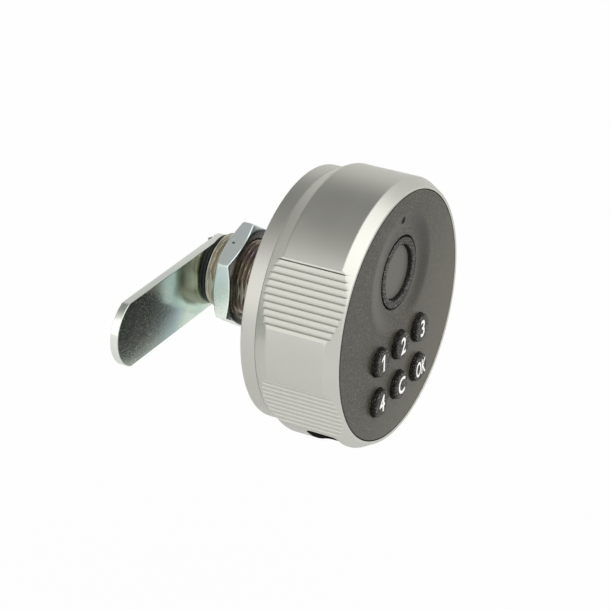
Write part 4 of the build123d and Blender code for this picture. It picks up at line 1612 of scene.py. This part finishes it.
@dataclass
class Nut:
    """Hexagon nut, its corners turned down to a cone on both faces."""

    across: float = 20.5
    front_y: float = 11.8
    thickness: float = 3.9
    turn: float = 26.0
    chamfer: float = 0.6
    face_in: float = 0.15
    corner_reach: float = 1.148
    side_in: float = 0.1
    side_edge: float = 0.28
    hole_r: float = 8.05
    hole_chamfer: float = 0.9
    columns: int = 240
    sharp: float = 30.0

    def outline(self) -> list[Flat]:
        """The hexagon, its corners slightly blunt.

        Returns:
            Points as angle and radius.
        """
        half = self.across / 2
        path = []
        for index in range(self.columns):
            angle = 360.0 * index / self.columns
            off = (angle + 30.0) % 60.0 - 30.0
            radius = min(half / math.cos(math.radians(off)), half * self.corner_reach)
            path.append((angle + self.turn + 30.0, radius))
        return path

    def build(self, shop: Workshop) -> None:
        """Makes the nut.

        Args:
            shop: Where it is dressed.
        """
        half = self.across / 2
        corner = self.across / math.sqrt(3)
        rear_y = self.front_y + self.thickness
        columns = []
        for angle, radius in self.outline():
            drop = self.chamfer * (radius - half) / (corner - half)
            cos, sin = polar(1.0, angle)
            profile = softened([
                (self.hole_r, self.front_y + self.hole_chamfer, 0.05),
                (self.hole_r + self.hole_chamfer, self.front_y, 0.1),
                (half - self.face_in, self.front_y, 0.1),
                (radius, self.front_y + drop + self.side_in, self.side_edge),
                (radius, rear_y - drop - self.side_in, self.side_edge),
                (half - self.face_in, rear_y, 0.1),
                (self.hole_r + self.hole_chamfer, rear_y, 0.1),
                (self.hole_r, rear_y - self.hole_chamfer, 0.05),
            ], closed=True)
            columns.append([(r * cos, y, r * sin) for r, y in profile])
        nut = skinned("mounting_nut_dressed", columns, self.sharp)
        shop.mount(nut, "nut", Body.BASE.value, ("mounting_nut",))


@dataclass
class CamSet:
    """The cam on the spindle's square, its toothed washer, its screw and its spacer."""

    reach: float = 39.39
    half_width: float = 6.95
    hub_r: float = 7.25
    tip_r: float = 7.5
    tip_steps: int = 32
    hub_steps: int = 36
    front_y: float = 20.15
    thickness: float = 1.8
    square: float = 8.1
    square_corner_r: float = 5.05
    edge: float = 0.16
    edge_shape: tuple[Flat, ...] = ((1.0, 0.0), (0.3, 0.3), (0.0, 1.0))
    end_pull: float = 1.5
    plate_sharp: float = 50.0
    washer_y: float = 21.95
    washer: Triple = (6.75, 5.9, 0.8)
    washer_bore: float = 2.6
    washer_half_t: float = 0.22
    washer_columns: int = 120
    washer_sharp: float = 40.0
    teeth: int = 16
    tooth_root: Triple = (-0.3, 0.0, 0.85)
    tooth_neck: Triple = (0.5, 14.0, 0.8)
    tooth_tip: Flat = (24.0, 0.66)
    tooth_shares: Flat = (0.8, 0.7)
    head_y: float = 22.75
    head_r: float = 4.4
    head_t: float = 2.45
    head_rim: float = 0.9
    shank_r: float = 2.45
    shank_edge: Flat = (0.4, 0.5)
    screw_length: float = 12.0
    screw_columns: int = 96
    cross: Triple = (4.4, 0.8, 1.2)
    cross_corner: float = 0.3
    cross_turn: float = 20.0
    cross_above: float = 0.5
    spacer_r: Flat = (5.1, 7.35)
    spacer_t: float = 0.65

    def outline(self) -> list[Flat]:
        """The cam's outline in the door's plane.

        Returns:
            Its points, the round tip's first.
        """
        tip_x = self.tip_r - self.reach
        spread = math.degrees(math.asin(self.half_width / self.tip_r))
        hub = math.degrees(math.asin(self.half_width / self.hub_r))
        path = []
        for index in range(self.tip_steps + 1):
            u, v = polar(self.tip_r, 180.0 - spread + 2 * spread * index / self.tip_steps)
            path.append((tip_x + u, v))
        for index in range(self.hub_steps + 1):
            path.append(polar(self.hub_r, -hub + 2 * hub * index / self.hub_steps))
        return path

    def hole(self) -> list[Flat]:
        """The square hole, its corners on the spindle's round.

        Returns:
            Its points in the door's plane.
        """
        half = self.square / 2
        inner = math.sqrt(self.square_corner_r**2 - half**2)
        path: list[Flat] = []
        for quarter in range(4):
            cos, sin = polar(1.0, 90 * quarter)
            path += [(u * cos - v * sin, u * sin + v * cos) for u, v in ((half, -inner), (half, inner))]
        return path

    def plate(self) -> bpy.types.Object:
        """Makes the cam's plate with softened edges.

        Returns:
            The new object.
        """
        rear = self.front_y + self.thickness
        levels = [(self.edge * inset, self.front_y + self.edge * rise) for inset, rise in self.edge_shape]
        levels += [(self.edge * inset, rear - self.edge * rise) for inset, rise in reversed(self.edge_shape)]
        middle = -self.reach / 2
        path = self.outline()
        columns = []
        for inset, y in levels:
            loop = []
            for u, v in path:
                pull_u = (u - middle) / (self.reach / 2 + self.hub_r) * self.end_pull
                pull_v = v / self.half_width
                loop.append((u - inset * max(-1.0, min(1.0, pull_u)), y, v - inset * pull_v))
            columns.append(loop)
        cam = skinned("cam_dressed", columns, self.plate_sharp, around=False)
        square = slab("square", self.hole(), door_plane(rear + BEYOND), 0.0, self.thickness + 2 * BEYOND)
        carve(cam, [square], Cut.TAKE_AWAY, self.plate_sharp)
        return cam

    def tooth(self, angle: float) -> list[Point]:
        """One tooth of the washer, twisted about the line that it stands on.

        Args:
            angle: Where it stands, in degrees.

        Returns:
            Its points, four for its root, four for its neck and four for its tip.
        """
        outer, root, thick = self.washer
        wide_share, thick_share = self.tooth_shares
        middle = self.washer_y + thick / 2
        x, z = polar(1.0, angle)
        out = Vector((x, 0, z))
        side = Vector((-out.z, 0, out.x))
        along = Vector((0, 1, 0))
        levels = [(root + rise, twist, wide) for rise, twist, wide in (self.tooth_root, self.tooth_neck)]
        points: list[Point] = []
        for r, twist, wide in (*levels, (outer, *self.tooth_tip)):
            lean = math.radians(twist)
            across = side * math.cos(lean) + along * math.sin(lean)
            up = along * math.cos(lean) - side * math.sin(lean)
            for s, t in ((-1, -1), (1, -1), (1, 1), (-1, 1)):
                spot = out * r + across * (wide * s * wide_share) + up * (self.washer_half_t * thick_share * t)
                points.append((spot.x, middle + spot.y, spot.z))
        return points

    def toothed_washer(self) -> bpy.types.Object:
        """Makes the washer, each tooth twisted out of its plane.

        Returns:
            The new object.
        """
        _, root, thick = self.washer
        middle = self.washer_y + thick / 2
        front, rear = middle - self.washer_half_t, middle + self.washer_half_t
        section = [(self.washer_bore, front), (root, front), (root, rear), (self.washer_bore, rear)]
        points: list[Point] = []
        for index in range(self.washer_columns):
            cos, sin = polar(1.0, 360.0 * index / self.washer_columns)
            points += [(r * cos, y, r * sin) for r, y in section]
        faces = strip_faces(len(section), self.washer_columns, around=True)
        for index in range(self.teeth):
            faces += strip_faces(4, 3, around=False, first=len(points))
            points += self.tooth(360.0 * index / self.teeth)
        return mesh_piece("lock_washer_dressed", points, faces, self.washer_sharp)

    def screw(self) -> bpy.types.Object:
        """Makes the domed screw with its cross recess.

        Returns:
            The new object.
        """
        rear = self.head_y + self.head_t
        tip = self.head_y - self.screw_length
        edge_in, edge_t = self.shank_edge
        rise = self.head_t - self.head_rim
        dome: list[Corner] = []
        for degrees in range(0, 91, 15):
            turn = math.radians(degrees)
            y = self.head_y + self.head_rim + rise * math.sin(turn)
            dome.append((self.head_r * math.cos(turn), y, 0.0))
        screw = lathed("cam_screw_dressed", [
            (0.0, tip, 0.0),
            (self.shank_r - edge_in, tip, 0.0),
            (self.shank_r, tip + edge_t, 0.0),
            (self.shank_r, self.head_y, 0.0),
            (self.head_r, self.head_y, 0.1),
            *dome,
            (0.0, rear, 0.0),
        ], count=self.screw_columns)
        span, width, depth = self.cross
        bar = round_box(span, width, self.cross_corner)
        tools = []
        for turn in (0.0, 90.0):
            swing = Matrix.Rotation(math.radians(turn + self.cross_turn), 4, "Z")
            place = door_plane(rear + self.cross_above) @ swing
            tools.append(slab("cross", bar, place, 0.0, self.cross_above + depth))
        carve(screw, tools, Cut.TAKE_AWAY)
        return screw

    def spacer(self) -> bpy.types.Object:
        """Makes the thin black washer before the cam.

        Returns:
            The new object.
        """
        bore, outer = self.spacer_r
        front = self.front_y - self.spacer_t
        return lathed("cam_spacer_dressed", [
            (bore, front, 0.05),
            (outer, front, 0.15),
            (outer, self.front_y, 0.15),
            (bore, self.front_y, 0.05),
        ])

    def build(self, shop: Workshop) -> None:
        """Makes all that turns with the spindle's end.

        Args:
            shop: Where they are dressed.
        """
        shop.mount(self.plate(), "cam", Body.SPINDLE.value, ("cam",))
        shop.mount(self.toothed_washer(), "bright_steel", Body.SPINDLE.value, ("lock_washer",))
        shop.mount(self.screw(), "bright_steel", Body.SPINDLE.value, ("cam_screw",))
        shop.mount(self.spacer(), "black_steel", Body.SPINDLE.value, ("cam_spacer",))


@dataclass
class InnerParts:
    """The parts that keep their CAD meshes, most of them out of sight."""

    finishes: dict[str, str] = field(default_factory=lambda: {
        "light_pipe": "pipe", "key_mat": "mat", "contact_domes": "dome_steel", "circuit_board": "board",
        "status_light": "lamp", "chassis": "chassis", "chassis_screws": "bright_steel",
        "board_screws": "bright_steel", "battery": "cell", "clutch_coil": "coil", "clutch_pin": "bright_steel",
        "stop_pin": "bright_steel", "retaining_clip": "black_steel", "barrel_screws": "bright_steel",
        "spindle": "bright_steel",
    })

    def build(self, shop: Workshop) -> None:
        """Dresses them in the shop's materials."""
        for node, finish in self.finishes.items():
            shop.dress_node(node, finish)


@dataclass
class Studio:
    """Camera, plain pale floor, room light and one soft lamp."""

    azimuth: float = -62.08
    elevation: float = 26.99
    roll: float = 1.24
    distance: float = 467.3
    focal_px: float = 2323.9
    image_px: float = 610.0
    sensor: float = 36.0
    clip_m: Flat = (0.01, 50.0)
    offset: Flat = (19.04, -2.155)
    origin_y: float = -21.78
    floor_z: float = -120.0
    floor_half: float = 3000.0
    floor_grey: float = 0.80
    floor_seen: float = 0.94
    floor_mirrored: float = 0.8
    floor_behind: float = 0.9
    fade_toward: Point = (0.45, 0.9, 0.0)
    fade: Flat = (-60.0, 70.0)
    tint: Colour = (1.0, 0.995, 0.975)
    room: float = 0.78
    patches: tuple[tuple[Point, float, float, float], ...] = (
        ((0.22, 0.54, 0.81), 0.67, 0.97, -0.51),
        ((-0.03, -0.75, 0.66), 0.63, 0.78, 0.88),
        ((-0.91, 0.26, 0.30), 0.84, 0.89, 0.52),
    )
    lamp_spot: Point = (-250.0, -600.0, 760.0)
    lamp_side: float = 700.0
    lamp_watts: float = 0.25

    def camera(self) -> None:
        """Sets the camera at the photograph's angle."""
        a, e, r = (math.radians(v) for v in (self.azimuth, self.elevation, self.roll))
        back = Vector((math.sin(a) * math.cos(e), -math.cos(a) * math.cos(e), math.sin(e)))
        level = Vector((math.cos(a), math.sin(a), 0.0))
        rise = back.cross(level)
        right = level * math.cos(r) + rise * math.sin(r)
        up = rise * math.cos(r) - level * math.sin(r)
        spot = right * -self.offset[0] + up * -self.offset[1] + back * self.distance
        spot += Vector((0.0, self.origin_y, 0.0))
        data = bpy.data.cameras.new("camera")
        data.sensor_width = self.sensor
        data.lens = self.focal_px / self.image_px * self.sensor
        data.clip_start, data.clip_end = self.clip_m
        camera = linked("camera", data)
        matrix = Matrix((right, up, back)).transposed().to_4x4()
        matrix.translation = spot * MM
        camera.matrix_world = matrix
        bpy.context.scene.camera = camera

    def floor(self) -> None:
        """Makes the floor, almost white to the camera and to reflections, with a faint shadow."""
        h = self.floor_half
        corners = [(-h, -h, self.floor_z), (h, -h, self.floor_z), (h, h, self.floor_z), (-h, h, self.floor_z)]
        mesh = bpy.data.meshes.new("floor")
        mesh.from_pydata([tuple(c * MM for c in corner) for corner in corners], [], [(0, 1, 2, 3)])
        floor = linked("floor", mesh)
        material = bpy.data.materials.new("floor")
        material.use_nodes = True
        graph = Graph(material.node_tree)
        graph.tree.nodes.clear()
        away = graph.place().dot(self.fade_toward).step(*self.fade)
        mirrored = graph.ray("Glossy") * (1 - away) * self.floor_mirrored
        behind = graph.ray("Transmission") * self.floor_behind
        share = graph.ray("Camera") * self.floor_seen + mirrored + behind
        matt = graph.node("ShaderNodeBsdfDiffuse", {}, {"Color": (self.floor_grey,) * 3, "Roughness": 0.5})
        white = graph.node("ShaderNodeEmission", {}, {"Color": WHITE, "Strength": 1.0})
        mixed = graph.node("ShaderNodeMixShader", {}, {0: share, 1: matt, 2: white})
        graph.close("ShaderNodeOutputMaterial", mixed)
        mesh.materials.append(material)

    def world(self) -> None:
        """Soft room light with one dim and two bright patches, plain white to the camera."""
        world = bpy.data.worlds.new("studio")
        world.use_nodes = True
        bpy.context.scene.world = world
        graph = Graph(world.node_tree)
        graph.tree.nodes.clear()
        ray = graph.node("ShaderNodeTexCoord", {}, {}, "Generated")
        level: float | Value = self.room
        for toward, low, high, rise in self.patches:
            level = ray.dot(tuple(Vector(toward).normalized())).step(low, high) * rise + level
        seen = graph.ray("Camera")
        sockets = {"Color": graph.blend(seen, self.tint, WHITE), "Strength": level * (1 - seen) + seen}
        glow = graph.node("ShaderNodeBackground", {}, sockets)
        graph.close("ShaderNodeOutputWorld", glow)

    def lamp(self) -> None:
        """Hangs the square lamp, which looks at the lock."""
        data = bpy.data.lights.new("lamp_key", "AREA")
        data.shape = "SQUARE"
        data.size = self.lamp_side * MM
        data.energy = self.lamp_watts
        spot = Vector(self.lamp_spot) * MM
        turn = spot.to_track_quat("Z", "Y").to_matrix().to_4x4()
        linked("lamp_key", data).matrix_world = Matrix.Translation(spot) @ turn

    def build(self) -> None:
        """Sets up the whole studio."""
        bpy.context.scene.view_settings.view_transform = "Standard"
        self.camera()
        self.floor()
        self.world()
        self.lamp()


def main() -> None:
    """Builds the lock and its studio."""
    logging.basicConfig(level=logging.INFO, format="%(message)s")
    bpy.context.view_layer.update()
    shop = Workshop()
    keypad = Keypad()
    KnobShell().build(shop)
    FrontPanel().build(shop, keypad.places())
    SensorGroup().build(shop)
    keypad.build(shop)
    ChargeSocket().build(shop)
    BaseFlange().build(shop)
    Barrel().build(shop)
    Nut().build(shop)
    CamSet().build(shop)
    InnerParts().build(shop)
    Studio().build()


if __name__ == "__main__":
    main()
